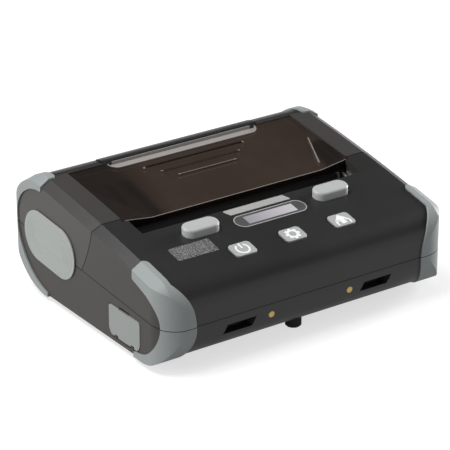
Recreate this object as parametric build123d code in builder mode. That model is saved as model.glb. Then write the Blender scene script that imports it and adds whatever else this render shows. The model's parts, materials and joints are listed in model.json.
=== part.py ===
from build123d import *
import math
import os

# Portable thermal printer, millimetres. X runs across the width, the front faces -Y, +Z is up.
# The origin is the middle of the bounding box, on the surface that the feet stand on.

# Driving dimensions of the case
half_width = 77.5
front_y = -64.4
floor_z = 3.0
wall = 2.2
front_toe_radius = 18.0
shoulder_radius = 13.0
crown_front = (-50.2, 43.9)
crown_middle = (-6.7, 52.0)
crown_rear = (43.3, 59.0)
back_centre_z = 31.0
back_upper_centre_y = 30.3
back_upper_radius = 30.9
back_lower_radius = 28.0
crease_radius = 18.0
back_y = back_upper_centre_y + back_upper_radius
plan_front_radius = 12.0
plan_back_radius = 5.0
ridge_half_width = 72.6
chamfer_drop = 2.9
seam_front_z = 22.1
seam_slope = 0.076
seam_gap = 0.2
far = 120.0
halving_steps = 40

# Cover seam on the side wall, (Y, Z)
cover_seam_top = (-6.9, 52.5)
cover_seam_middle = (-3.5, 40.5)
cover_seam_bottom = (3.1, 27.2)
cover_gap = 0.4

# Hinge across the back
knuckle_radius = 2.4
hinge_pin_radius = 1.2
pin_clearance = 0.05
knuckle_gap = 0.3
hinge_half_length = 40.0
hinge_end_width = 12.0
hinge_middle_width = 12.6

# Rubber corner guards and side pads
guard_proud = 0.7
guard_depth = 1.2
guard_gap = 0.12
guard_reach = 25.0
guard_tip_radius = 1.2
guard_end_radius = 2.6
# Each guard: the way it faces along Y, how far its brow leans at the top of the space, four (Y, Z) points
# of its edge on the side wall (tail, waist, cheek, brow), three (inset from the side, Z) points of its edge
# on the end wall (tail, waist, brow)
guard_shapes = {
    "front": (
        -1,
        0.0,
        ((-39.7, 5.2), (-58.7, 23.0), (-49.5, 36.2), (-39.5, 39.7)),
        ((10.5, 3.6), (15.7, 21.5), (6.9, 42.3)),
    ),
    "rear": (
        1,
        4.7,
        ((32.5, 4.2), (57.8, 34.6), (51.6, 48.0), (35.7, 53.4)),
        ((5.5, 6.0), (15.5, 31.6), (8.1, 57.0)),
    ),
}
pad_length = 43.0
pad_height = 24.5
pad_centre = (29.6, 29.8)
pad_skin = 0.5
pad_gap = 0.2
pad_root_depth = 1.0
pad_groove_depth = 0.2
pad_groove_width = 0.5
pad_groove_step = 3.0
pad_groove_count = 3

# Feet
foot_radius = 3.75
foot_inset_depth = 0.8
front_foot_y = -51.0
rear_foot_x = 50.0
rear_foot_y = 30.0
foot_edge = 0.6

# Window of the cover
window_half_width = 62.5
window_front = (-8.7, 49.3)
window_rear = (37.4, 57.8)
window_thickness = 2.0
window_gap = 0.12
lip_depth = 3.0
lip_length = 2.0
rail_wall = 1.9
rail_wall_front_y = -2.6
ledge_width = 2.0
ledge_thickness = 1.0
facet_inner_x = 47.0
facet_rear_y = 26.0
facet_drop = 0.2
scoop_half_length = 41.0
scoop_width = 4.2
scoop_depth = 0.9
window_rib_rows = ((27.6, 27.6), (22.0, 21.5), (16.4, 15.6))
window_rib_height = 0.3
window_rib_width = 0.7
strip_half_length = 43.0
strip_front_y = 38.0
strip_rear_y = 44.6
strip_proud = 0.5
strip_depth = 0.8

# Paper slot in front of the window's lip
slot_half_width = 60.5
slot_front_y = -21.0
slot_side_rear_y = -10.0
slot_wall = 2.0
slot_wall_bottom_z = 39.0
slot_edge_radius = 0.4
lip_clearance = 0.5

# Control panel
key_size = (11.2, 8.6)
key_corner_radius = 1.8
key_y = -49.8
key_pitch = 27.1
key_proud = 0.5
key_clearance = 0.3
key_flange = 1.0
key_flange_thickness = 1.0
key_names = ("power_key", "settings_key", "feed_key")
button_size = (18.4, 8.2)
button_x = 35.8
button_y = -29.9
button_rise = 3.6
button_edge_radius = 1.2
button_clearance = 0.35
button_stem_radius = 1.5
button_stem_clearance = 0.1
button_tip_radius = 0.9
button_tip_length = 0.8
button_clip_radius = 2.4
button_clip_thickness = 0.8
button_clip_gap = 0.2
button_bottom_z = 45.2
well_floor_z = 42.4
well_floor_thickness = 1.4
well_wall = 1.4
release_spring_radius = 2.3
release_spring_turns = 3
spring_wire = 0.25
lens_size = (39.0, 9.5)
lens_centre = (0.7, -32.0)
lens_thickness = 1.1
lens_proud = 0.1
display_size = (27.0, 6.0)
display_frame = 1.3
display_margin = 0.4
display_corner = 0.6
plate_size = (33.0, 4.2)
plate_slant = 1.0
plate_centre = (-1.0, -23.8)
plate_corner = 0.6
plate_thickness = 0.5
plate_proud = 0.15
label_size = (21.2, 9.4)
label_centre = (-47.0, -41.0)
label_corner = 0.8
label_thickness = 0.4
label_proud = 0.1
inlay_gap = 0.1

# Board under the panel, parallel to it
panel_board_half_width = 33.0
panel_board_y = -40.5
panel_board_z = 38.3
panel_board_tilt = 11.5
panel_board_front = -14.0
panel_board_step = 3.0
panel_board_rear = 13.2
panel_neck_half_width = 20.0
board_thickness = 1.6
switch_size = 6.0
switch_height = 1.2
switch_button_radius = 1.6
switch_button_height = 0.5
display_height = 2.2
display_glass_height = 1.6
panel_post_places = ((13.5, -49.8), (17.8, -30.5))
panel_post_radius = 1.6

# Front face of the lower case
contact_x = 21.5
contact_z = 16.7
contact_radius = 1.6
contact_length = 6.5
contact_proud = 0.25
cradle_slot_x = 37.4
cradle_slot_shift = -0.8
cradle_slot_z = 15.9
cradle_slot_size = (15.4, 4.8)
cradle_slot_depth = 6.0
cradle_slot_slant = 0.8
cradle_slot_wall = 1.2
cradle_step_top_z = 5.9
cradle_step_rear_y = -53.5

# Port flap on the left side
port_low = (-44.2, 5.4)
port_high = (-19.5, 20.2)
port_corner_radius = 4.2
port_top_radius = 1.6
port_proud = 0.2
port_flap_thickness = 1.3
port_gap = 0.4
port_floor_gap = 0.35
port_axis_inset = 0.4
port_window_margin = 2.2
notch_length = 9.0
notch_depth = 0.5
notch_rise = 0.8
port_ear_offset = 6.4
port_ear_width = 2.0
port_ear_radius = 0.5
port_pin_radius = 0.22

# Paper feed
platen_y = -3.1
platen_z = 42.0
platen_radius = 5.0
platen_half_length = 56.0
shaft_radius = 2.5
shaft_shoulder = 1.5
shaft_journal_radius = 2.0
shaft_overhang = 0.6
bush_radius = 3.2
bush_width = 3.0
bush_inner_x = 59.6
carrier_thickness = 2.2
carrier_gap = 0.7
carrier_top_z = 47.4
carrier_bottom_z = 37.0
carrier_tab_height = 3.4
ear_radius = 4.4
gear_module = 0.6
gear_width = 3.4
gear_side_gap = 0.9
platen_teeth = 14
idler_teeth = 26
pinion_teeth = 12
tooth_share = 0.40
tooth_slope = 20.0
addendum = 0.9
dedendum = 1.15
idler_stud_radius = 1.5
motor_radius = 10.0
motor_length = 17.0
motor_shaft_radius = 1.0
motor_shaft_reach = 6.0
motor_boss_radius = 3.5
motor_edge_radius = 1.0
motor_direction = 216.9
terminal_size = (7.0, 3.0, 7.0)

# Print head, in front of the platen and leaning forward
head_angle = 210.0
head_gap = 0.3
head_thickness = 1.0
head_half_width = 56.5
head_reach_up = 5.0
head_reach_down = 6.0
driver_height = 1.0
driver_length = 2.5
sink_thickness = 3.4
sink_groove_depth = 1.2
sink_groove_width = 3.0
sink_groove_pitch = 6.0
sink_groove_count = 18
sink_rod_radius = 1.5
tear_bar_thickness = 0.8
tear_bar_height = 4.4
tear_bar_half_length = 56.0
tear_bar_top_z = 48.0
tear_tooth_pitch = 2.0
tear_tooth_depth = 0.9
head_spring_x = 34.0
head_spring_z = 33.6
head_spring_radius = 1.9
head_spring_turns = 6
spring_seat_y = -13.0
spring_seat_width = 8.0
spring_seat_height = 5.4

# Frame of the print mechanism
frame_plate = 1.2
frame_inner_x = 60.8
frame_front_y = -28.0
frame_rear_y = -2.6
frame_top_z = 37.0
frame_low_z = 14.0
frame_foot_rear_y = -20.0
frame_pivot_top_z = 38.6
shelf_z = 30.4
shelf_front_y = -27.0
shelf_rear_y = -21.4
backrest_half_width = 57.4
latch_pivot = (-24.0, 35.0)
latch_pivot_radius = 1.25
latch_thickness = 1.5
latch_side_gap = 0.7
latch_hub_radius = 2.8
latch_arm = 3.0
latch_nose_y = -8.9
latch_nose_z = 45.4
latch_tab_y = (-32.6, -27.6)
latch_tab_inner_x = 33.8
latch_tab_thickness = 1.4
latch_tab_gap = 0.5

# Boards, sockets and battery in the lower case
battery_size = (70.0, 35.0, 17.5)
battery_y = -25.5
battery_corner_radius = 8.0
door_thickness = 1.6
door_margin = 2.5
door_ledge = 1.4
door_gap = 0.15
door_grip_pitch = 3.0
door_grip_width = 1.0
door_grip_depth = 0.4
door_grip_count = 5
door_grip_length = 16.0
door_grip_y = -36.0
main_board_low = (-41.0, -49.0)
main_board_high = (54.6, -24.8)
main_board_z = 26.4
main_board_parts = (
    (-30.0, -36.0, 14.0, 14.0, 1.4),
    (-8.0, -40.0, 18.0, 8.0, 1.2),
    (16.0, -36.0, 10.0, 10.0, 2.0),
    (34.0, -42.0, 12.0, 5.0, 2.2),
    (42.0, -31.0, 8.0, 8.0, 2.2),
)
post_radius = 2.2
post_inset = 2.4
port_board_low = (-74.8, -46.0)
port_board_high = (-62.8, -18.5)
port_board_z = 6.4
socket_front_gap = 0.5
usb_y = -27.2
usb_size = (7.7, 9.0, 3.4)
usb_wall = 0.4
usb_tongue = (5.0, 6.0, 0.7)
jack_y = -37.2
jack_size = (12.0, 9.0, 10.6)
jack_barrel_radius = 4.2
jack_hole_radius = 2.75
jack_hole_depth = 9.0
jack_pin_radius = 1.0

# Screws that join the lower case and the front case
screw_places = ((60.0, -49.5), (71.0, -12.5))
screw_radius = 1.45
screw_head_radius = 2.5
screw_head_height = 1.8
screw_recess = 2.4
screw_reach = 7.0
screw_socket_size = 2.0
screw_socket_depth = 1.0
hexagon_sides = 6
boss_radius = 3.6
hole_clearance = 0.15

# Paper bay
bay_wall_y = -3.8
bay_wall_thickness = 1.5
bay_wall_top_z = 25.5
guide_rod_radius = 1.8
guide_rod_y = 7.6
guide_rod_z = 9.6
guide_rod_half_length = 72.0
rod_holder_grip = 2.0
rod_fit = 0.02
guide_x = 56.0
guide_thickness = 2.0
guide_centre = (30.0, 30.0)
guide_disc_radius = 14.0
guide_hub_radius = 6.0
guide_hub_depth = 3.0
guide_hub_taper = 0.8
guide_foot_radius = 3.8
guide_foot_width = 6.0
guide_arm_width = 9.0
sensor_size = (9.0, 4.0, 5.0)
sensor_x = 20.0
sensor_nib_radius = 1.2
sensor_nib_height = 1.5

os.makedirs("parts", exist_ok=True)

crown = ThreePointArc(crown_front, crown_middle, crown_rear)
crown_centre = crown.arc_center
crown_radius = crown.radius
hinge_y = -front_y + guard_proud - knuckle_radius
sides = (("left", -1), ("right", 1))


def seam_z(y: float) -> float:
    """Height of the seam between the lower case and the shells above it."""
    return seam_front_z + seam_slope * (y - front_y)


hinge_z = seam_z(hinge_y)


def crown_z(y: float, inset: float = 0.0, drop: float = 0.0) -> float:
    """Height of the top surface at y, for a skin that lies inset below the outside."""
    radius = crown_radius - inset
    return crown_centre.Y - drop + math.sqrt(radius**2 - (y - crown_centre.X) ** 2)


def window_z(y: float) -> float:
    """Height of the window's outer face at y."""
    slope = (window_rear[1] - window_front[1]) / (window_rear[0] - window_front[0])
    return window_front[1] + slope * (y - window_front[0])


def window_section(x: float, y0: float, y1: float, low: float, high: float) -> Sketch:
    """Band along the window's slope, from low to high above its outer face."""
    with BuildSketch(Plane.YZ.offset(x)) as band:
        with BuildLine():
            Polyline(
                (y0, window_z(y0) + low),
                (y1, window_z(y1) + low),
                (y1, window_z(y1) + high),
                (y0, window_z(y0) + high),
                close=True,
            )
        make_face()
    return band.sketch


def crease_point(inset: float, drop: float) -> tuple:
    """Point where the top surface meets the round back, found by halving."""
    low = back_upper_centre_y
    high = back_upper_centre_y + back_upper_radius - inset
    for _ in range(halving_steps):
        y = (low + high) / 2
        rise = math.sqrt((back_upper_radius - inset) ** 2 - (y - back_upper_centre_y) ** 2)
        round_z = back_centre_z + rise
        if round_z > crown_z(y, inset, drop):
            low = y
        else:
            high = y
    return (y, round_z)


def side_section(x: float, inset: float = 0.0, drop: float = 0.0) -> Sketch:
    """Side outline of the case at x, seen along X: flat floor, rounded nose, round back and crease."""
    front = front_y + inset
    floor = floor_z + inset
    crease = crease_point(inset, drop)
    middle_y = (front + crease[0]) / 2
    upper = back_upper_radius - inset
    lower = back_lower_radius - inset
    lower_centre_y = back_y - back_lower_radius
    upper_angle = math.degrees(math.atan2(crease[1] - back_centre_z, crease[0] - back_upper_centre_y))
    with BuildSketch(Plane.YZ.offset(x)) as section:
        with BuildLine():
            Line((front, floor), (front, crown_z(front, inset, drop)))
            ThreePointArc(
                (front, crown_z(front, inset, drop)),
                (middle_y, crown_z(middle_y, inset, drop)),
                crease,
            )
            CenterArc((back_upper_centre_y, back_centre_z), upper, upper_angle, -upper_angle)
            CenterArc((lower_centre_y, back_centre_z), lower, 0, -90)
            Line((lower_centre_y, floor), (front, floor))
        make_face()
        fillet(section.vertices().sort_by(Axis.Y)[-1], crease_radius - inset)
        corners = section.vertices().group_by(Axis.X)[0].sort_by(Axis.Y)
        fillet(corners[0], front_toe_radius - inset)
        fillet(section.vertices().group_by(Axis.X)[0].sort_by(Axis.Y)[-1], shoulder_radius - inset)
    return section.sketch


def plan_section(inset: float) -> Sketch:
    """Outline of the case from above, with its upright corners rounded."""
    width = 2 * (half_width - inset)
    depth = back_y - front_y - 2 * inset
    with BuildSketch(Plane.XY) as plan:
        with Locations((0, (back_y + front_y) / 2)):
            Rectangle(width, depth)
        fillet(plan.vertices().group_by(Axis.Y)[0], plan_front_radius - inset)
        fillet(plan.vertices().group_by(Axis.Y)[-1], plan_back_radius - inset)
    return plan.sketch


def envelope(inset: float) -> Part:
    """Solid bounded by the skin that lies inset below the outside of the case."""
    ridge = ridge_half_width - inset
    edge = half_width - inset
    with BuildPart() as body:
        extrude(side_section(-ridge, inset), amount=2 * ridge)
        loft([side_section(-edge, inset, chamfer_drop), side_section(-ridge, inset)], ruled=True)
        loft([side_section(ridge, inset), side_section(edge, inset, chamfer_drop)], ruled=True)
        extrude(plan_section(inset), amount=far, mode=Mode.INTERSECT)
    return body.part


def block(low: tuple, high: tuple) -> Part:
    """Box between two corners."""
    with BuildPart() as box:
        with Locations(((low[0] + high[0]) / 2, (low[1] + high[1]) / 2, (low[2] + high[2]) / 2)):
            Box(high[0] - low[0], high[1] - low[1], high[2] - low[2])
    return box.part


def rod(x0: float, x1: float, y: float, z: float, radius: float) -> Part:
    """Round bar along X."""
    with BuildPart() as bar:
        with BuildSketch(Plane.YZ.offset(min(x0, x1))):
            with Locations((y, z)):
                Circle(radius)
        extrude(amount=abs(x1 - x0))
    return bar.part


def upright(x: float, y: float, z0: float, z1: float, radius: float) -> Part:
    """Round bar along Z."""
    with BuildPart() as bar:
        with BuildSketch(Plane.XY.offset(z0)):
            with Locations((x, y)):
                Circle(radius)
        extrude(amount=z1 - z0)
    return bar.part


def plan_prism(size: tuple, centre: tuple, corner: float, grow: float, z0: float = 0.0) -> Part:
    """Tall rounded rectangle, from z0 upward, that grow makes larger all round."""
    with BuildPart() as prism:
        with BuildSketch(Plane.XY.offset(z0)):
            with Locations(centre):
                RectangleRounded(size[0] + 2 * grow, size[1] + 2 * grow, corner + grow)
        extrude(amount=far)
    return prism.part


def stadium_prism(size: tuple, centre: tuple, grow: float, z0: float = 0.0, z1: float = far) -> Part:
    """Slot-shaped column between two heights."""
    with BuildPart() as prism:
        with BuildSketch(Plane.XY.offset(z0)):
            with Locations(centre):
                SlotOverall(size[0] + 2 * grow, size[1] + 2 * grow)
        extrude(amount=z1 - z0)
    return prism.part


def below_seam(gap: float) -> Part:
    """Space under the seam, gap below it."""
    with BuildPart() as space:
        with BuildSketch(Plane.YZ.offset(-far)):
            with BuildLine():
                Polyline(
                    (-far, -far),
                    (far, -far),
                    (far, seam_z(far) - gap),
                    (-far, seam_z(-far) - gap),
                    close=True,
                )
            make_face()
        extrude(amount=2 * far)
    return space.part


def above_seam(gap: float) -> Part:
    """Space over the seam, gap above it."""
    with BuildPart() as space:
        with BuildSketch(Plane.YZ.offset(-far)):
            with BuildLine():
                Polyline(
                    (-far, far),
                    (far, far),
                    (far, seam_z(far) + gap),
                    (-far, seam_z(-far) + gap),
                    close=True,
                )
            make_face()
        extrude(amount=2 * far)
    return space.part


def cover_space(shift: float) -> Part:
    """Space behind the curved seam between the front case and the cover, shifted along Y."""
    top = (cover_seam_top[0] + shift, cover_seam_top[1])
    middle = (cover_seam_middle[0] + shift, cover_seam_middle[1])
    bottom = (cover_seam_bottom[0] + shift, cover_seam_bottom[1])
    with BuildPart() as space:
        with BuildSketch(Plane.YZ.offset(-far)):
            with BuildLine():
                ThreePointArc(bottom, middle, top)
                Polyline(top, (top[0], far), (far, far), (far, -far), (bottom[0], -far), bottom)
            make_face()
        extrude(amount=2 * far)
    return space.part


def guard_space(place: str, side: int, grow: float) -> Part:
    """Space of a corner guard: crescent outlines seen from the side and from the end wall."""
    end, lean, (tail, waist, cheek, brow), face = guard_shapes[place]
    edge_x = (half_width - face[-1][0] - grow) * side
    brow_y = brow[0] - end * grow
    round_end = guard_end_radius + grow
    with BuildPart() as space:
        with BuildSketch(Plane.YZ.offset(half_width * side - guard_reach)) as profile:
            with BuildLine():
                Line((tail[0], -far), tail)
                TangentArc(waist, tail, tangent=(0, -1))
                upper_arc = TangentArc(waist, cheek, tangent=(0, 1))
                TangentArc(cheek, brow, tangent=upper_arc % 1)
                Polyline(
                    brow,
                    (brow[0] + lean, far),
                    (end * far, far),
                    (end * far, -far),
                    (tail[0], -far),
                )
            make_face()
            for tip in (tail, brow):
                fillet(profile.vertices().sort_by_distance(tip)[0], guard_tip_radius)
            offset(amount=grow)
        extrude(amount=2 * guard_reach)
        low, middle, high = [((half_width - inset) * side, z) for inset, z in face]
        with BuildSketch(Plane.XZ.offset(-far)):
            with BuildLine():
                Line((low[0], -far), low)
                TangentArc(middle, low, tangent=(0, -1))
                TangentArc(middle, high, tangent=(0, 1))
                Polyline(
                    high,
                    (high[0], far),
                    (far * side, far),
                    (far * side, -far),
                    (low[0], -far),
                )
            make_face()
            offset(amount=grow)
        extrude(amount=2 * far, mode=Mode.INTERSECT)
        # Rounded end of the brow, seen from above
        with BuildSketch(Plane.XY.offset(waist[1])):
            with Locations((edge_x, brow_y)):
                Rectangle(2 * round_end, 2 * round_end)
            with Locations((edge_x + round_end * side, brow_y + round_end * end)):
                Circle(round_end, mode=Mode.SUBTRACT)
        extrude(amount=far, mode=Mode.SUBTRACT)
    return space.part


def skin_piece(space: Part, outer: Part, inner: Part) -> Part:
    """The part of the layer between two skins that lies in space."""
    with BuildPart() as piece:
        add(outer)
        add(space, mode=Mode.INTERSECT)
        add(inner, mode=Mode.SUBTRACT)
    return piece.part


def lens_space(grow: float) -> Part:
    """Column over the lens of the display."""
    return stadium_prism(lens_size, lens_centre, grow, slot_wall_bottom_z)


def plate_space(grow: float) -> Part:
    """Column over the name plate, a bar with slanted ends."""
    half_length = plate_size[0] / 2
    half_depth = plate_size[1] / 2
    with BuildPart() as column:
        with BuildSketch(Plane.XY.offset(slot_wall_bottom_z)) as outline:
            with Locations(plate_centre):
                Polygon(
                    (-half_length + plate_slant, -half_depth),
                    (half_length + plate_slant, -half_depth),
                    (half_length - plate_slant, half_depth),
                    (-half_length - plate_slant, half_depth),
                )
            fillet(outline.vertices(), plate_corner)
            offset(amount=grow)
        extrude(amount=far)
    return column.part


def label_space(grow: float) -> Part:
    """Column over the rating label."""
    return plan_prism(label_size, label_centre, label_corner, grow, slot_wall_bottom_z)


def strip_space(grow: float) -> Part:
    """Column over the strip behind the window."""
    return block(
        (-strip_half_length - grow, strip_front_y - grow, slot_wall_bottom_z),
        (strip_half_length + grow, strip_rear_y + grow, far),
    )


def pad_outline(grow: float, x: float) -> Sketch:
    """Oval outline of a side pad, tilted with the seam."""
    with BuildSketch(Plane.YZ.offset(x)) as outline:
        with Locations(pad_centre):
            SlotOverall(
                pad_length + 2 * grow,
                pad_height + 2 * grow,
                rotation=math.degrees(math.atan(seam_slope)),
            )
    return outline.sketch


def gear_outline(x: float, centre: tuple, teeth: int, phase: float) -> Sketch:
    """Toothed outline with one tooth centred at the angle phase, in radians."""
    pitch_radius = gear_module * teeth / 2
    half_tooth = tooth_share * math.pi * gear_module / 2
    spread = math.tan(math.radians(tooth_slope)) * gear_module
    root = pitch_radius - dedendum * gear_module
    tip = pitch_radius + addendum * gear_module
    points = []
    for tooth in range(teeth):
        middle = phase + tooth * 2 * math.pi / teeth
        for radius, half in (
            (root, -half_tooth - dedendum * spread),
            (tip, -half_tooth + addendum * spread),
            (tip, half_tooth - addendum * spread),
            (root, half_tooth + dedendum * spread),
        ):
            angle = middle + half / radius
            points.append((centre[0] + radius * math.cos(angle), centre[1] + radius * math.sin(angle)))
    with BuildSketch(Plane.YZ.offset(x)) as outline:
        with BuildLine():
            Polyline(*points, close=True)
        make_face()
    return outline.sketch


def coil(centre: tuple, axis: tuple, radius: float, length: float, turns: int) -> Part:
    """Compression spring: one round wire along a helix."""
    path = Helix(pitch=length / turns, height=length, radius=radius, center=centre, direction=axis)
    with BuildPart() as spring:
        with BuildSketch(Plane(origin=path @ 0, z_dir=path % 0)):
            Circle(spring_wire)
        sweep(path=path, is_frenet=True)
    return spring.part


# Skins that the pieces are cut from
outside = envelope(0.0)
inside = envelope(wall)
guard_outside = envelope(-guard_proud)
guard_inside = envelope(guard_depth)
guard_seat = envelope(guard_depth + guard_gap)
lower_space = below_seam(seam_gap / 2)
upper_space = above_seam(seam_gap / 2)
behind_cover_seam = cover_space(0.0)
behind_front_seam = cover_space(-cover_gap)

with BuildPart() as shell:
    add(outside)
    add(inside, mode=Mode.SUBTRACT)

guard_seats = []
for side_name, side in sides:
    for place in guard_shapes:
        with BuildPart() as seat:
            add(guard_outside)
            add(guard_space(place, side, guard_gap), mode=Mode.INTERSECT)
            add(guard_seat, mode=Mode.SUBTRACT)
        guard_seats.append(seat.part)

# Hinge knuckles, from the left end to the right end: case, cover, case, cover, case
case_spans = (
    (-hinge_half_length, -hinge_half_length + hinge_end_width),
    (-hinge_middle_width / 2, hinge_middle_width / 2),
    (hinge_half_length - hinge_end_width, hinge_half_length),
)
cover_spans = (
    (-hinge_half_length + hinge_end_width, -hinge_middle_width / 2),
    (hinge_middle_width / 2, hinge_half_length - hinge_end_width),
)
relief_radius = knuckle_radius + knuckle_gap
pin_bore = rod(-far, far, hinge_y, hinge_z, hinge_pin_radius + pin_clearance)

# Port flap in the left wall
port_width = port_high[0] - port_low[0]
port_height = port_high[1] - port_low[1]
port_centre = ((port_low[0] + port_high[0]) / 2, (port_low[1] + port_high[1]) / 2)
port_outer_x = -half_width - port_proud
port_axis_x = port_outer_x + port_axis_inset
port_axis_z = port_low[1] + port_axis_inset
port_ears = (port_centre[0] - port_ear_offset, port_centre[0] + port_ear_offset)
flap_inner_x = port_outer_x + port_flap_thickness
port_floor_x = flap_inner_x + port_floor_gap
socket_front_x = flap_inner_x + socket_front_gap


def port_outline(x: float, grow: float) -> Sketch:
    """Flap outline: square-shouldered at the top, rounder at the hinged bottom edge."""
    with BuildSketch(Plane.YZ.offset(x)) as outline:
        with Locations(port_centre):
            Rectangle(port_width, port_height)
        fillet(outline.vertices().group_by(Axis.Y)[0], port_corner_radius)
        fillet(outline.vertices().group_by(Axis.Y)[-1], port_top_radius)
        if grow:
            offset(amount=grow)
    return outline.sketch


foot_places = ((0, front_foot_y), (-rear_foot_x, rear_foot_y), (rear_foot_x, rear_foot_y))
cradle_places = [cradle_slot_x * side + cradle_slot_shift for side_name, side in sides]
cradle_half = cradle_slot_size[0] / 2
cradle_low_z = cradle_slot_z - cradle_slot_size[1] / 2
cradle_high_z = cradle_slot_z + cradle_slot_size[1] / 2
toe_centre_z = floor_z + front_toe_radius
contact_face_y = front_y + front_toe_radius - math.sqrt(front_toe_radius**2 - (toe_centre_z - contact_z) ** 2)
key_centres = [((column - 1) * key_pitch, key_y) for column in range(len(key_names))]
lens_floor = envelope(lens_thickness - lens_proud + inlay_gap / 2)
plate_floor = envelope(plate_thickness - plate_proud + inlay_gap / 2)
label_floor = envelope(label_thickness - label_proud + inlay_gap / 2)
rail_depth = window_thickness + ledge_thickness
battery_half = battery_size[0] / 2
door_low = (-battery_half - door_margin, battery_y - battery_size[1] / 2 - door_margin)
door_high = (battery_half + door_margin, battery_y + battery_size[1] / 2 + door_margin)

board_posts = [
    (x, y, top)
    for low, high, top in (
        (main_board_low, main_board_high, main_board_z),
        (port_board_low, port_board_high, port_board_z),
    )
    for x in (low[0] + post_inset, high[0] - post_inset)
    for y in (low[1] + post_inset, high[1] - post_inset)
]

pad_roots = []
for side_name, side in sides:
    seat_depth = pad_root_depth + guard_gap
    seat_x = min(half_width * side, (half_width - seat_depth) * side)
    with BuildPart() as root_seat:
        extrude(pad_outline(guard_gap - pad_root_depth, seat_x), amount=seat_depth)
        add(below_seam(seam_gap + pad_root_depth - guard_gap), mode=Mode.INTERSECT)
    pad_roots.append(root_seat.part)

with BuildPart() as cradle_pockets:
    for pocket_x in cradle_places:
        add(
            block(
                (
                    pocket_x - cradle_half - cradle_slot_slant - cradle_slot_wall,
                    front_y + wall / 2,
                    cradle_low_z - cradle_slot_wall,
                ),
                (
                    pocket_x + cradle_half + cradle_slot_slant + cradle_slot_wall,
                    front_y + cradle_slot_depth + cradle_slot_wall,
                    cradle_high_z + cradle_slot_wall,
                ),
            )
        )
    add(envelope(wall / 2), mode=Mode.INTERSECT)

with BuildPart() as foot_columns:
    with BuildSketch(Plane.XY):
        with Locations(*foot_places):
            Circle(foot_radius)
    extrude(amount=toe_centre_z)

with BuildPart() as foot_seats:
    with BuildSketch(Plane.XY):
        with Locations(*foot_places):
            Circle(foot_radius + inlay_gap)
    extrude(amount=toe_centre_z)
    add(envelope(foot_inset_depth + inlay_gap / 2), mode=Mode.SUBTRACT)

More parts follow.
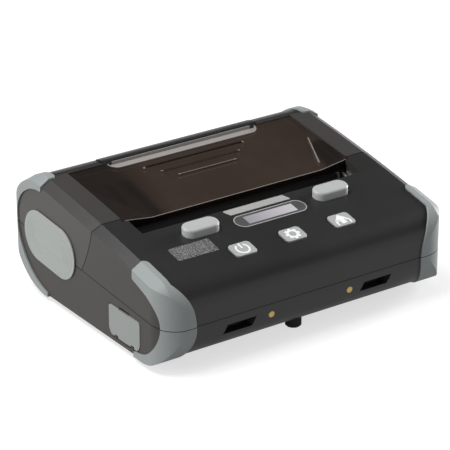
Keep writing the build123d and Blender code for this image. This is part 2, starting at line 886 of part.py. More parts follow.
# Lower case: tub with floor, bosses, posts, bay wall and hinge knuckles
with BuildPart() as lower_case:
    add(shell.part)
    add(lower_space, mode=Mode.INTERSECT)
    for x, y in screw_places:
        for side_name, side in sides:
            add(upright(x * side, y, floor_z + wall / 2, seam_z(y) - seam_gap, boss_radius))
    for x, y, top in board_posts:
        add(upright(x, y, floor_z + wall / 2, top, post_radius))
    add(
        block(
            (-guide_x, bay_wall_y, floor_z + wall / 2),
            (guide_x, bay_wall_y + bay_wall_thickness, bay_wall_top_z),
        )
    )
    for side_name, side in sides:
        holder = (
            (guide_rod_half_length - rod_holder_grip) * side,
            (half_width - wall / 2) * side,
        )
        add(
            block(
                (min(holder), guide_rod_y - guide_foot_radius, floor_z + wall / 2),
                (max(holder), guide_rod_y + guide_foot_radius, guide_rod_z + guide_foot_radius),
            )
        )
    add(cradle_pockets.part)
    # Bosses end at the rounded skin
    add(outside, mode=Mode.INTERSECT)
    for x0, x1 in case_spans:
        add(rod(x0, x1, hinge_y, hinge_z, knuckle_radius))
    for x0, x1 in cover_spans:
        add(rod(x0, x1, hinge_y, hinge_z, relief_radius), mode=Mode.SUBTRACT)
    add(pin_bore, mode=Mode.SUBTRACT)
    for seat_part in guard_seats:
        add(seat_part, mode=Mode.SUBTRACT)
    # Cradle slots: slanted mouths on the front face, each over a step in the bottom edge
    for slot_x in cradle_places:
        with BuildSketch(Plane.XZ.offset(-front_y - cradle_slot_depth)):
            with BuildLine():
                Polyline(
                    (slot_x - cradle_half - cradle_slot_slant, cradle_low_z),
                    (slot_x + cradle_half - cradle_slot_slant, cradle_low_z),
                    (slot_x + cradle_half + cradle_slot_slant, cradle_high_z),
                    (slot_x - cradle_half + cradle_slot_slant, cradle_high_z),
                    close=True,
                )
            make_face()
        extrude(amount=cradle_slot_depth + wall, mode=Mode.SUBTRACT)
        add(
            block(
                (slot_x - cradle_half - cradle_slot_slant, -far, 0),
                (slot_x + cradle_half + cradle_slot_slant, cradle_step_rear_y, cradle_step_top_z),
            ),
            mode=Mode.SUBTRACT,
        )
    # Charging contact holes
    with BuildSketch(Plane.XZ.offset(-contact_face_y - 2 * wall)):
        with Locations((-contact_x, contact_z), (contact_x, contact_z)):
            Circle(contact_radius + inlay_gap)
    extrude(amount=far, mode=Mode.SUBTRACT)
    # Screw holes and head recesses
    for x, y in screw_places:
        for side_name, side in sides:
            add(upright(x * side, y, 0, far, screw_radius + hole_clearance), mode=Mode.SUBTRACT)
            add(
                upright(x * side, y, 0, floor_z + screw_recess, screw_head_radius + hole_clearance),
                mode=Mode.SUBTRACT,
            )
    add(foot_seats.part, mode=Mode.SUBTRACT)
    # Battery door opening with a ledge
    add(
        block(
            (door_low[0] - door_gap, door_low[1] - door_gap, 0),
            (door_high[0] + door_gap, door_high[1] + door_gap, floor_z + door_thickness / 2),
        ),
        mode=Mode.SUBTRACT,
    )
    add(
        block(
            (door_low[0] + door_ledge, door_low[1] + door_ledge, 0),
            (door_high[0] - door_ledge, door_high[1] - door_ledge, floor_z + 2 * wall),
        ),
        mode=Mode.SUBTRACT,
    )
    # Port recess and the window behind it
    extrude(port_outline(-far, port_gap), amount=far + port_floor_x, mode=Mode.SUBTRACT)
    extrude(
        port_outline(-far, -port_window_margin),
        amount=far - half_width + 2 * wall,
        mode=Mode.SUBTRACT,
    )
    # Finger recess over the flap
    with BuildSketch(Plane.YZ.offset(-far)):
        with Locations((port_centre[0], port_high[1] + port_gap)):
            SlotOverall(notch_length, 2 * notch_rise)
    extrude(amount=far + flap_inner_x, mode=Mode.SUBTRACT)
    # Ears of the port flap's hinge
    for ear_y in port_ears:
        add(
            block(
                (port_axis_x, ear_y - port_ear_width / 2, port_axis_z - port_ear_radius),
                (
                    port_floor_x + port_floor_gap,
                    ear_y + port_ear_width / 2,
                    port_axis_z + port_ear_radius,
                ),
            )
        )
        with BuildSketch(Plane.XZ.offset(-ear_y - port_ear_width / 2)):
            with Locations((port_axis_x, port_axis_z)):
                Circle(port_ear_radius)
        extrude(amount=port_ear_width)
        with BuildSketch(Plane.XZ.offset(-ear_y - port_ear_width / 2)):
            with Locations((port_axis_x, port_axis_z)):
                Circle(port_pin_radius + pin_clearance)
        extrude(amount=port_ear_width, mode=Mode.SUBTRACT)
    # Seats of the side pads' roots, bores for the guide rod
    for root_part in pad_roots:
        add(root_part, mode=Mode.SUBTRACT)
    guide_bore_radius = guide_rod_radius + rod_fit
    add(
        rod(-guide_rod_half_length, guide_rod_half_length, guide_rod_y, guide_rod_z, guide_bore_radius),
        mode=Mode.SUBTRACT,
    )
lower_case.part.label = "lower_case"
export_step(lower_case.part, "parts/lower_case.step")

# Front case: control panel, walls of the paper slot, wells of the release buttons, screw bosses
panel_rise = math.radians(panel_board_tilt)
panel_plane = Plane(
    origin=(0, panel_board_y, panel_board_z),
    x_dir=(1, 0, 0),
    z_dir=(0, -math.sin(panel_rise), math.cos(panel_rise)),
)
with BuildPart() as panel_posts:
    for x, y in panel_post_places:
        for side_name, side in sides:
            add(upright(x * side, y, slot_wall_bottom_z / 2, far, panel_post_radius))
    with BuildSketch(panel_plane.offset(board_thickness)):
        Rectangle(2 * far, 2 * far)
    extrude(amount=far, mode=Mode.INTERSECT)
    add(outside, mode=Mode.INTERSECT)

with BuildPart() as slot_body:
    # Walls of the paper slot, wells of the release buttons and screw bosses
    add(
        block(
            (-slot_half_width - slot_wall, slot_front_y - slot_wall, slot_wall_bottom_z),
            (slot_half_width + slot_wall, slot_side_rear_y, far),
        )
    )
    add(block((-slot_half_width, slot_front_y, 0), (slot_half_width, far, far)), mode=Mode.SUBTRACT)
    for side_name, side in sides:
        well_centre = (button_x * side, button_y)
        well_bottom_z = well_floor_z - well_floor_thickness
        add(stadium_prism(button_size, well_centre, button_clearance + well_wall, well_bottom_z))
        for x, y in screw_places:
            add(upright(x * side, y, seam_z(y) + seam_gap, far, boss_radius))
    add(outside, mode=Mode.INTERSECT)

with BuildPart() as front_case:
    add(shell.part)
    add(upper_space, mode=Mode.INTERSECT)
    add(behind_front_seam, mode=Mode.SUBTRACT)
    add(slot_body.part)
    add(panel_posts.part)
    add(
        block((-slot_half_width, slot_front_y, slot_wall_bottom_z), (slot_half_width, far, far)),
        mode=Mode.SUBTRACT,
    )
    fillet(
        front_case.edges()
        .filter_by(Axis.X)
        .filter_by_position(Axis.Y, slot_front_y - pin_clearance, slot_front_y + pin_clearance)
        .sort_by(Axis.Z)[-1],
        slot_edge_radius,
    )
    add(
        block(
            (-window_half_width - lip_clearance, window_front[0] - lip_clearance, slot_wall_bottom_z),
            (window_half_width + lip_clearance, far, far),
        ),
        mode=Mode.SUBTRACT,
    )
    for seat_part in guard_seats:
        add(seat_part, mode=Mode.SUBTRACT)
    for side_name, side in sides:
        well_centre = (button_x * side, button_y)
        add(stadium_prism(button_size, well_centre, button_clearance, well_floor_z), mode=Mode.SUBTRACT)
        add(
            upright(
                well_centre[0], well_centre[1], 0, far, button_stem_radius + button_stem_clearance
            ),
            mode=Mode.SUBTRACT,
        )
        for x, y in screw_places:
            bore_top = seam_z(y) + screw_reach + seam_gap
            add(upright(x * side, y, 0, bore_top, screw_radius + pin_clearance), mode=Mode.SUBTRACT)
    for key_centre in key_centres:
        add(
            plan_prism(key_size, key_centre, key_corner_radius, key_clearance, slot_wall_bottom_z),
            mode=Mode.SUBTRACT,
        )
    add(
        plan_prism(display_size, lens_centre, display_corner, display_margin, slot_wall_bottom_z),
        mode=Mode.SUBTRACT,
    )
    for space, seat_floor in (
        (lens_space(inlay_gap), lens_floor),
        (plate_space(inlay_gap), plate_floor),
        (label_space(inlay_gap), label_floor),
    ):
        add(skin_piece(space, guard_outside, seat_floor), mode=Mode.SUBTRACT)
front_case.part.label = "front_case"
export_step(front_case.part, "parts/front_case.step")

# Corner guards: crescents of rubber, parted at the case seam
for side_name, side in sides:
    for place in guard_shapes:
        guard_layer = skin_piece(guard_space(place, side, 0.0), guard_outside, guard_inside)
        for level, half_space in (("upper", upper_space), ("lower", lower_space)):
            with BuildPart() as guard:
                add(guard_layer)
                add(half_space, mode=Mode.INTERSECT)
            guard.part.label = f"{place}_bumper_{level}_{side_name}"
            export_step(guard.part, f"parts/{place}_bumper_{level}_{side_name}.step")

# Side pads: oval skins with ring grooves and a root in the wall of the lower case
for side_name, side in sides:
    pad_inner_x = (half_width + pad_gap) * side
    pad_outer_x = pad_inner_x + pad_skin * side
    root_x = (half_width - pad_root_depth) * side
    groove_x = pad_outer_x - pad_groove_depth * side
    with BuildPart() as pad_root:
        extrude(pad_outline(-pad_root_depth, min(pad_inner_x, root_x)), amount=pad_root_depth + pad_gap)
        add(below_seam(seam_gap + pad_root_depth), mode=Mode.INTERSECT)
    with BuildPart() as side_pad:
        extrude(pad_outline(0, min(pad_inner_x, pad_outer_x)), amount=pad_skin)
        for ring in range(pad_groove_count):
            ring_inset = pad_groove_step * (ring + 1)
            with BuildSketch(Plane.YZ.offset(min(groove_x, pad_outer_x))):
                add(pad_outline(-ring_inset, 0))
                add(pad_outline(-ring_inset - pad_groove_width, 0), mode=Mode.SUBTRACT)
            extrude(amount=pad_groove_depth, mode=Mode.SUBTRACT)
        add(pad_root.part)
    side_pad.part.label = f"side_pad_{side_name}"
    export_step(side_pad.part, f"parts/side_pad_{side_name}.step")

# Feet: one peg at the front, two at the rear
with BuildPart() as rubber_feet:
    add(foot_columns.part)
    add(envelope(foot_inset_depth), mode=Mode.SUBTRACT)
    chamfer(rubber_feet.edges().group_by(Axis.Z)[0], foot_edge)
rubber_feet.part.label = "rubber_feet"
export_step(rubber_feet.part, "parts/rubber_feet.step")

# Charging contacts in the front face
with BuildPart() as charging_contacts:
    with BuildSketch(Plane.XZ.offset(-contact_face_y - contact_length)):
        with Locations((-contact_x, contact_z), (contact_x, contact_z)):
            Circle(contact_radius)
    extrude(amount=contact_length + contact_proud)
    fillet(charging_contacts.edges().group_by(Axis.Y)[0], contact_radius / 4)
charging_contacts.part.label = "charging_contacts"
export_step(charging_contacts.part, "parts/charging_contacts.step")

# Inlays of the control panel: lens over the display, bare name plate, bare label
with BuildPart() as display_window:
    add(
        skin_piece(
            lens_space(0.0),
            envelope(-lens_proud),
            envelope(lens_thickness - lens_proud),
        )
    )
display_window.part.label = "display_window"
export_step(display_window.part, "parts/display_window.step")

with BuildPart() as name_plate:
    add(
        skin_piece(
            plate_space(0.0),
            envelope(-plate_proud),
            envelope(plate_thickness - plate_proud),
        )
    )
name_plate.part.label = "name_plate"
export_step(name_plate.part, "parts/name_plate.step")

with BuildPart() as rating_label:
    add(
        skin_piece(
            label_space(0.0),
            envelope(-label_proud),
            envelope(label_thickness - label_proud),
        )
    )
rating_label.part.label = "rating_label"
export_step(rating_label.part, "parts/rating_label.step")

# Keys: caps that follow the panel, each with a flange under the roof
key_top = envelope(-key_proud)
key_flange_top = envelope(wall + key_clearance)
key_bottom = envelope(wall + key_clearance + key_flange_thickness)
for key_name, key_centre in zip(key_names, key_centres):
    with BuildPart() as key:
        add(
            skin_piece(
                plan_prism(key_size, key_centre, key_corner_radius, 0.0, slot_wall_bottom_z / 2),
                key_top,
                key_bottom,
            )
        )
        add(
            skin_piece(
                plan_prism(key_size, key_centre, key_corner_radius, key_flange, slot_wall_bottom_z / 2),
                key_flange_top,
                key_bottom,
            )
        )
    key.part.label = key_name
    export_step(key.part, f"parts/{key_name}.step")

# Board under the panel: wide under the keys, narrow under the display


def panel_row(y: float, height: float) -> float:
    """Place along the board of what stands under y at this height over the board's lower face."""
    return (y - panel_board_y + height * math.sin(panel_rise)) / math.cos(panel_rise)


switch_row = panel_row(key_y, board_thickness + switch_height)
display_row = panel_row(lens_centre[1], board_thickness + display_height + display_glass_height / 2)
with BuildPart() as panel_board:
    with BuildSketch(panel_plane):
        with Locations((0, (panel_board_front + panel_board_step) / 2)):
            Rectangle(2 * panel_board_half_width, panel_board_step - panel_board_front)
        with Locations((0, (panel_board_front + panel_board_rear) / 2)):
            Rectangle(2 * panel_neck_half_width, panel_board_rear - panel_board_front)
    extrude(amount=board_thickness)
    with BuildSketch(panel_plane.offset(board_thickness)):
        with Locations((0, switch_row)):
            with GridLocations(key_pitch, 1, len(key_names), 1):
                Rectangle(switch_size, switch_size)
    extrude(amount=switch_height)
    with BuildSketch(panel_plane.offset(board_thickness + switch_height)):
        with Locations((0, switch_row)):
            with GridLocations(key_pitch, 1, len(key_names), 1):
                Circle(switch_button_radius)
    extrude(amount=switch_button_height)
panel_board.part.label = "panel_board"
export_step(panel_board.part, "parts/panel_board.step")

with BuildPart() as display_panel:
    with BuildSketch(panel_plane.offset(board_thickness)):
        with Locations((lens_centre[0], display_row)):
            Rectangle(display_size[0] + 2 * display_frame, display_size[1] + 2 * display_frame)
    extrude(amount=display_height)
    with BuildSketch(panel_plane.offset(board_thickness + display_height)):
        with Locations((lens_centre[0], display_row)):
            Rectangle(*display_size)
    extrude(amount=display_glass_height)
display_panel.part.label = "display_panel"
export_step(display_panel.part, "parts/display_panel.step")

# Release buttons: a cap, and a stem that is clipped under the floor of the well
clip_top_z = well_floor_z - well_floor_thickness - button_clip_gap
clip_bottom_z = clip_top_z - button_clip_thickness
tip_z = clip_bottom_z - button_tip_length
button_top = envelope(-button_rise)
for side_name, side in sides:
    x = button_x * side
    with BuildPart() as release_button:
        add(stadium_prism(button_size, (x, button_y), 0.0, button_bottom_z))
        add(button_top, mode=Mode.INTERSECT)
        fillet(release_button.faces().sort_by(Axis.Z)[-1].edges(), button_edge_radius)
        add(upright(x, button_y, clip_top_z, button_bottom_z, button_stem_radius))
        add(upright(x, button_y, clip_bottom_z, clip_top_z, button_clip_radius))
        add(upright(x, button_y, tip_z, clip_bottom_z, button_tip_radius))
    release_button.part.label = f"release_button_{side_name}"
    export_step(release_button.part, f"parts/release_button_{side_name}.step")

    release_spring = coil(
        (x, button_y, well_floor_z + spring_wire),
        (0, 0, 1),
        release_spring_radius,
        button_bottom_z - well_floor_z - 2 * spring_wire,
        release_spring_turns,
    )
    release_spring.label = f"release_spring_{side_name}"
    export_step(release_spring, f"parts/release_spring_{side_name}.step")

# Latch levers: a hub, a hook arm towards the platen shaft and a tab under the release button
lever_inner_x = frame_inner_x - latch_side_gap - latch_thickness
tab_top_z = tip_z - latch_tab_gap
latch_reach_y = latch_pivot[0] + latch_hub_radius
for side_name, side in sides:
    latch_x = min(lever_inner_x * side, (lever_inner_x + latch_thickness) * side)
    with BuildPart() as latch:
        with BuildSketch(Plane.YZ.offset(latch_x)):
            with Locations(latch_pivot):
                Circle(latch_hub_radius)
            with BuildLine():
                Polyline(
                    (latch_pivot[0], latch_pivot[1] - latch_arm / 2),
                    (latch_nose_y, latch_pivot[1] - latch_arm / 2),
                    (latch_nose_y, latch_nose_z),
                    (latch_nose_y - latch_arm, latch_nose_z - latch_arm / 2),
                    (latch_nose_y - latch_arm, latch_pivot[1] + latch_arm / 2),
                    (latch_pivot[0], latch_pivot[1] + latch_arm / 2),
                    close=True,
                )
            make_face()
            with BuildLine():
                Polyline(
                    (latch_tab_y[0], tab_top_z - latch_tab_thickness),
                    (latch_pivot[0], latch_pivot[1]),
                    (latch_reach_y, latch_pivot[1]),
                    (latch_tab_y[1], tab_top_z),
                    (latch_tab_y[0], tab_top_z),
                    close=True,
                )
            make_face()
        extrude(amount=latch_thickness)
        tab_ends = sorted((latch_tab_inner_x * side, (lever_inner_x + latch_thickness) * side))
        add(
            block(
                (tab_ends[0], latch_tab_y[0], tab_top_z - latch_tab_thickness),
                (tab_ends[1], latch_tab_y[1], tab_top_z),
            )
        )
        add(
            rod(-far, far, latch_pivot[0], latch_pivot[1], latch_pivot_radius + pin_clearance),
            mode=Mode.SUBTRACT,
        )
    latch.part.label = f"latch_{side_name}"
    export_step(latch.part, f"parts/latch_{side_name}.step")

# Gear train outside the left end plate: platen gear, idler, motor pinion
idler_distance = gear_module * (platen_teeth + idler_teeth) / 2
hinge_reach = math.hypot(platen_y - hinge_y, platen_z - hinge_z)
idler_centre = (
    platen_y - idler_distance * (platen_z - hinge_z) / hinge_reach,
    platen_z - idler_distance * (hinge_y - platen_y) / hinge_reach,
)
idler_angle = math.atan2(idler_centre[1] - platen_z, idler_centre[0] - platen_y)
pinion_angle = math.radians(motor_direction)
pinion_distance = gear_module * (idler_teeth + pinion_teeth) / 2
pinion_centre = (
    idler_centre[0] + pinion_distance * math.cos(pinion_angle),
    idler_centre[1] + pinion_distance * math.sin(pinion_angle),
)
idler_phase = idler_angle + math.pi + math.pi / idler_teeth
idler_lag = (pinion_angle - idler_phase) % (2 * math.pi / idler_teeth)
pinion_phase = pinion_angle + math.pi + idler_lag * idler_teeth / pinion_teeth + math.pi / pinion_teeth
plate_outer_x = frame_inner_x + frame_plate
bush_outer_x = bush_inner_x + bush_width
gear_outer_x = -bush_outer_x - gear_side_gap - gear_width

with BuildPart() as platen_gear:
    extrude(
        gear_outline(gear_outer_x, (platen_y, platen_z), platen_teeth, idler_angle), amount=gear_width
    )
    add(rod(-far, far, platen_y, platen_z, shaft_journal_radius + rod_fit), mode=Mode.SUBTRACT)
platen_gear.part.label = "platen_gear"
export_step(platen_gear.part, "parts/platen_gear.step")

with BuildPart() as idler_gear:
    extrude(gear_outline(gear_outer_x, idler_centre, idler_teeth, idler_phase), amount=gear_width)
    add(
        rod(-far, far, idler_centre[0], idler_centre[1], idler_stud_radius + pin_clearance),
        mode=Mode.SUBTRACT,
    )
idler_gear.part.label = "idler_gear"
export_step(idler_gear.part, "parts/idler_gear.step")

with BuildPart() as motor_pinion:
    extrude(gear_outline(gear_outer_x, pinion_centre, pinion_teeth, pinion_phase), amount=gear_width)
    add(
        rod(
            gear_outer_x,
            -frame_inner_x + motor_shaft_reach,
            pinion_centre[0],
            pinion_centre[1],
            motor_shaft_radius,
        )
    )
motor_pinion.part.label = "motor_pinion"
export_step(motor_pinion.part, "parts/motor_pinion.step")

with BuildPart() as stepper_motor:
    motor_end_x = -frame_inner_x + motor_length
    add(rod(-frame_inner_x, motor_end_x, pinion_centre[0], pinion_centre[1], motor_radius))
    fillet(stepper_motor.edges().group_by(Axis.X)[-1], motor_edge_radius)
    add(rod(-plate_outer_x, -frame_inner_x, pinion_centre[0], pinion_centre[1], motor_boss_radius))
    terminal_x = -frame_inner_x + motor_length - motor_edge_radius
    terminal_y = pinion_centre[0] + motor_radius
    terminal_z = pinion_centre[1] - terminal_size[2] / 2
    add(
        block(
            (terminal_x - terminal_size[0], terminal_y - terminal_size[1], terminal_z),
            (terminal_x, terminal_y, terminal_z + terminal_size[2]),
        )
    )
    add(
        rod(
            -far,
            -frame_inner_x + motor_shaft_reach + motor_shaft_radius,
            pinion_centre[0],
            pinion_centre[1],
            motor_shaft_radius + pin_clearance,
        ),
        mode=Mode.SUBTRACT,
    )
stepper_motor.part.label = "stepper_motor"
export_step(stepper_motor.part, "parts/stepper_motor.step")

# Print head: a ceramic bar square to the line from the platen axis, on a finned heat sink
head_turn = math.radians(head_angle)
head_origin = (
    platen_y + (platen_radius + head_gap) * math.cos(head_turn),
    platen_z + (platen_radius + head_gap) * math.sin(head_turn),
)
head_plane = Plane(
    origin=(0, head_origin[0], head_origin[1]),
    x_dir=(-1, 0, 0),
    z_dir=(0, -math.cos(head_turn), -math.sin(head_turn)),
)
head_length = head_reach_up + head_reach_down
head_middle = (head_reach_up - head_reach_down) / 2
sink_back = head_thickness + sink_thickness
with BuildPart() as print_head:
    with BuildSketch(head_plane.offset(-head_thickness)):
        with Locations((0, head_middle)):
            Rectangle(2 * head_half_width, head_length)
    extrude(amount=head_thickness)
    with BuildSketch(head_plane):
        with Locations((0, driver_length / 2 - head_reach_down)):
            Rectangle(2 * head_half_width - driver_length, driver_length)
    extrude(amount=driver_height)
print_head.part.label = "print_head"
export_step(print_head.part, "parts/print_head.step")

sink_rod_place = (
    head_origin[0]
    + (head_thickness + sink_thickness / 2) * math.cos(head_turn)
    - head_reach_down * math.sin(head_turn),
    head_origin[1]
    + (head_thickness + sink_thickness / 2) * math.sin(head_turn)
    + head_reach_down * math.cos(head_turn),
)

with BuildPart() as heat_sink:
    with BuildSketch(head_plane.offset(-sink_back)):
        with Locations((0, head_middle)):
            Rectangle(2 * head_half_width, head_length)
    extrude(amount=sink_thickness)
    with BuildSketch(head_plane.offset(-sink_back)):
        with Locations((0, head_middle)):
            with GridLocations(sink_groove_pitch, 1, sink_groove_count, 1):
                Rectangle(sink_groove_width, head_length)
    extrude(amount=sink_groove_depth, mode=Mode.SUBTRACT)
    add(rod(-plate_outer_x, plate_outer_x, sink_rod_place[0], sink_rod_place[1], sink_rod_radius))
    for side_name, side in sides:
        with BuildSketch(Plane.YZ.offset(head_spring_x * side - spring_seat_width / 2)):
            with BuildLine():
                Polyline(
                    (spring_seat_y, head_spring_z - spring_seat_height / 2),
                    sink_rod_place,
                    (sink_rod_place[0], head_spring_z + spring_seat_height / 2),
                    (spring_seat_y, head_spring_z + spring_seat_height / 2),
                    close=True,
                )
            make_face()
        extrude(amount=spring_seat_width)
    with BuildSketch(head_plane.offset(-head_thickness)):
        with Locations((0, head_middle)):
            Rectangle(2 * far, 2 * head_length)
    extrude(amount=head_length, mode=Mode.SUBTRACT)
heat_sink.part.label = "heat_sink"
export_step(heat_sink.part, "parts/heat_sink.step")

# Springs that press the head forward, between the backrest and the heat sink
for side_name, side in sides:
    head_spring = coil(
        (head_spring_x * side, shelf_rear_y + spring_wire, head_spring_z),
        (0, 1, 0),
        head_spring_radius,
        spring_seat_y - shelf_rear_y - 2 * spring_wire,
        head_spring_turns,
    )
    head_spring.label = f"head_spring_{side_name}"
    export_step(head_spring, f"parts/head_spring_{side_name}.step")

# Tear bar on the front wall of the slot
tooth_count = int(2 * tear_bar_half_length / tear_tooth_pitch)
tear_points = [(-tear_bar_half_length, tear_bar_top_z - tear_bar_height)]
for tooth in range(tooth_count):
    tooth_x = -tear_bar_half_length + tooth * tear_tooth_pitch
    tear_points.append((tooth_x, tear_bar_top_z - tear_tooth_depth))
    tear_points.append((tooth_x + tear_tooth_pitch / 2, tear_bar_top_z))
tear_points.append((tear_bar_half_length, tear_bar_top_z - tear_tooth_depth))
tear_points.append((tear_bar_half_length, tear_bar_top_z - tear_bar_height))
with BuildPart() as tear_bar:
    with BuildSketch(Plane.XZ.offset(-slot_front_y - tear_bar_thickness)):
        with BuildLine():
            Polyline(*tear_points, close=True)
        make_face()
    extrude(amount=tear_bar_thickness)
tear_bar.part.label = "tear_bar"
export_step(tear_bar.part, "parts/tear_bar.step")

# Steel frame: end plates that stand on the floor, a shelf between them and a backrest on it
with BuildPart() as print_frame:
    for side_name, side in sides:
        with BuildSketch(Plane.YZ.offset(min(frame_inner_x * side, plate_outer_x * side))):
            with BuildLine():
                Polyline(
                    (frame_front_y, floor_z + wall),
                    (frame_foot_rear_y, floor_z + wall),
                    (frame_foot_rear_y, frame_low_z),
                    (frame_rear_y, frame_low_z),
                    (frame_rear_y, frame_top_z),
                    (frame_foot_rear_y, frame_top_z),
                    (frame_foot_rear_y, frame_pivot_top_z),
                    (frame_front_y, frame_pivot_top_z),
                    close=True,
                )
            make_face()
        extrude(amount=frame_plate)
        stud_end = lever_inner_x - latch_side_gap
        plate_x = frame_inner_x * side
        add(rod(stud_end * side, plate_x, latch_pivot[0], latch_pivot[1], latch_pivot_radius))
    shelf_top_z = shelf_z + frame_plate
    add(block((-frame_inner_x, shelf_front_y, shelf_z), (frame_inner_x, shelf_rear_y, shelf_top_z)))
    add(
        block(
            (-backrest_half_width, shelf_rear_y - frame_plate, shelf_z),
            (backrest_half_width, shelf_rear_y, frame_top_z),
        )
    )
    add(
        rod(-far, -frame_inner_x, pinion_centre[0], pinion_centre[1], motor_boss_radius + rod_fit),
        mode=Mode.SUBTRACT,
    )
    add(
        rod(-far, far, sink_rod_place[0], sink_rod_place[1], sink_rod_radius + pin_clearance),
        mode=Mode.SUBTRACT,
    )
    add(rod(gear_outer_x - rod_fit, -plate_outer_x, idler_centre[0], idler_centre[1], idler_stud_radius))
print_frame.part.label = "print_frame"
export_step(print_frame.part, "parts/print_frame.step")

# Main board over the battery, with its larger components
with BuildPart() as main_board:
    add(
        block(
            (main_board_low[0], main_board_low[1], main_board_z),
            (main_board_high[0], main_board_high[1], main_board_z + board_thickness),
        )
    )
    for x, y, length, width, height in main_board_parts:
        top = main_board_z + board_thickness
        add(block((x - length / 2, y - width / 2, top), (x + length / 2, y + width / 2, top + height)))
main_board.part.label = "main_board"
export_step(main_board.part, "parts/main_board.step")

# Port board, its data socket and its power socket
with BuildPart() as port_board:
    add(
        block(
            (port_board_low[0], port_board_low[1], port_board_z),
            (port_board_high[0], port_board_high[1], port_board_z + board_thickness),
        )
    )
port_board.part.label = "port_board"
export_step(port_board.part, "parts/port_board.step")

board_top_z = port_board_z + board_thickness
usb_middle_z = board_top_z + usb_size[2] / 2
with BuildPart() as usb_socket:
    with BuildSketch(Plane.YZ.offset(socket_front_x)):
        with Locations((usb_y, usb_middle_z)):
            SlotOverall(usb_size[1], usb_size[2])
    extrude(amount=usb_size[0])
    with BuildSketch(Plane.YZ.offset(socket_front_x)):
        with Locations((usb_y, usb_middle_z)):
            SlotOverall(usb_size[1] - 2 * usb_wall, usb_size[2] - 2 * usb_wall)
    extrude(amount=usb_size[0] - 2 * usb_wall, mode=Mode.SUBTRACT)
    with BuildSketch(Plane.YZ.offset(socket_front_x + usb_size[0] - 2 * usb_wall)):
        with Locations((usb_y, usb_middle_z)):
            Rectangle(usb_tongue[1], usb_tongue[2])
    extrude(amount=-usb_tongue[0])
usb_socket.part.label = "usb_socket"
export_step(usb_socket.part, "parts/usb_socket.step")

jack_front_x = -half_width + wall + port_gap
jack_middle_z = board_top_z + jack_size[2] / 2
with BuildPart() as power_socket:
    add(
        block(
            (jack_front_x, jack_y - jack_size[1] / 2, board_top_z),
            (jack_front_x + jack_size[0], jack_y + jack_size[1] / 2, board_top_z + jack_size[2]),
        )
    )
    add(rod(socket_front_x, jack_front_x + 1, jack_y, jack_middle_z, jack_barrel_radius))
    add(
        rod(-far, socket_front_x + jack_hole_depth, jack_y, jack_middle_z, jack_hole_radius),
        mode=Mode.SUBTRACT,
    )
    add(
        rod(
            socket_front_x + 1,
            socket_front_x + jack_hole_depth + 1,
            jack_y,
            jack_middle_z,
            jack_pin_radius,
        )
    )
power_socket.part.label = "power_socket"
export_step(power_socket.part, "parts/power_socket.step")

# Port flap: round lip along its hinge, finger notch in its top edge, two notches for the hinge ears
with BuildPart() as port_cover:
    extrude(port_outline(port_outer_x, 0.0), amount=port_flap_thickness)
    with BuildSketch(Plane.XZ.offset(-far)):
        with Locations((port_axis_x, port_axis_z)):
            Circle(port_axis_inset)
        with Locations((port_outer_x + port_flap_thickness / 2, port_axis_z + far / 2)):
            Rectangle(port_flap_thickness, far)
    extrude(amount=2 * far, mode=Mode.INTERSECT)
    with BuildSketch(Plane.YZ.offset(port_outer_x)):
        with Locations((port_centre[0], port_high[1])):
            SlotOverall(notch_length, 2 * notch_depth)
    extrude(amount=port_flap_thickness, mode=Mode.SUBTRACT)
    for ear_y in port_ears:
        add(
            block(
                (port_outer_x, ear_y - port_ear_width / 2 - port_gap, port_low[1]),
                (
                    port_outer_x + port_flap_thickness,
                    ear_y + port_ear_width / 2 + port_gap,
                    port_axis_z + port_ear_radius + port_gap,
                ),
            ),
            mode=Mode.SUBTRACT,
        )
        with BuildSketch(Plane.XZ.offset(-ear_y - port_ear_width / 2 - 2 * port_gap)):
            with Locations((port_axis_x, port_axis_z)):
                Circle(port_pin_radius)
        extrude(amount=port_ear_width + 4 * port_gap)
port_cover.part.label = "port_cover"
export_step(port_cover.part, "parts/port_cover.step")

# Battery pack, and the door that it stands on
with BuildPart() as battery_pack:
    add(
        block(
            (-battery_half, battery_y - battery_size[1] / 2, floor_z + door_thickness),
            (
                battery_half,
                battery_y + battery_size[1] / 2,
                floor_z + door_thickness + battery_size[2],
            ),
        )
    )
    fillet(battery_pack.edges().filter_by(Axis.X), battery_corner_radius)
battery_pack.part.label = "battery_pack"
export_step(battery_pack.part, "parts/battery_pack.step")

with BuildPart() as battery_door:
    add(
        block(
            (door_low[0], door_low[1], floor_z),
            (door_high[0], door_high[1], floor_z + door_thickness / 2),
        )
    )
    plug_inset = door_ledge + door_gap
    add(
        block(
            (door_low[0] + plug_inset, door_low[1] + plug_inset, floor_z),
            (door_high[0] - plug_inset, door_high[1] - plug_inset, floor_z + door_thickness),
        )
    )
    with BuildSketch(Plane.XY.offset(floor_z)):
        with Locations((0, door_grip_y)):
            with GridLocations(1, door_grip_pitch, 1, door_grip_count):
                SlotOverall(door_grip_length, door_grip_width)
    extrude(amount=door_grip_depth, mode=Mode.SUBTRACT)
battery_door.part.label = "battery_door"
export_step(battery_door.part, "parts/battery_door.step")

# Screws from below: four that join the case
with BuildPart() as case_screws:
    for x, y in screw_places:
        for side_name, side in sides:
            add(
                upright(
                    x * side,
                    y,
                    floor_z + screw_recess - screw_head_height,
                    floor_z + screw_recess,
                    screw_head_radius,
                )
            )
            add(upright(x * side, y, floor_z + screw_recess, seam_z(y) + screw_reach, screw_radius))
            with BuildSketch(Plane.XY.offset(floor_z + screw_recess - screw_head_height)):
                with Locations((x * side, y)):
                    RegularPolygon(screw_socket_size / 2, hexagon_sides)
            extrude(amount=screw_socket_depth, mode=Mode.SUBTRACT)
case_screws.part.label = "case_screws"
export_step(case_screws.part, "parts/case_screws.step")

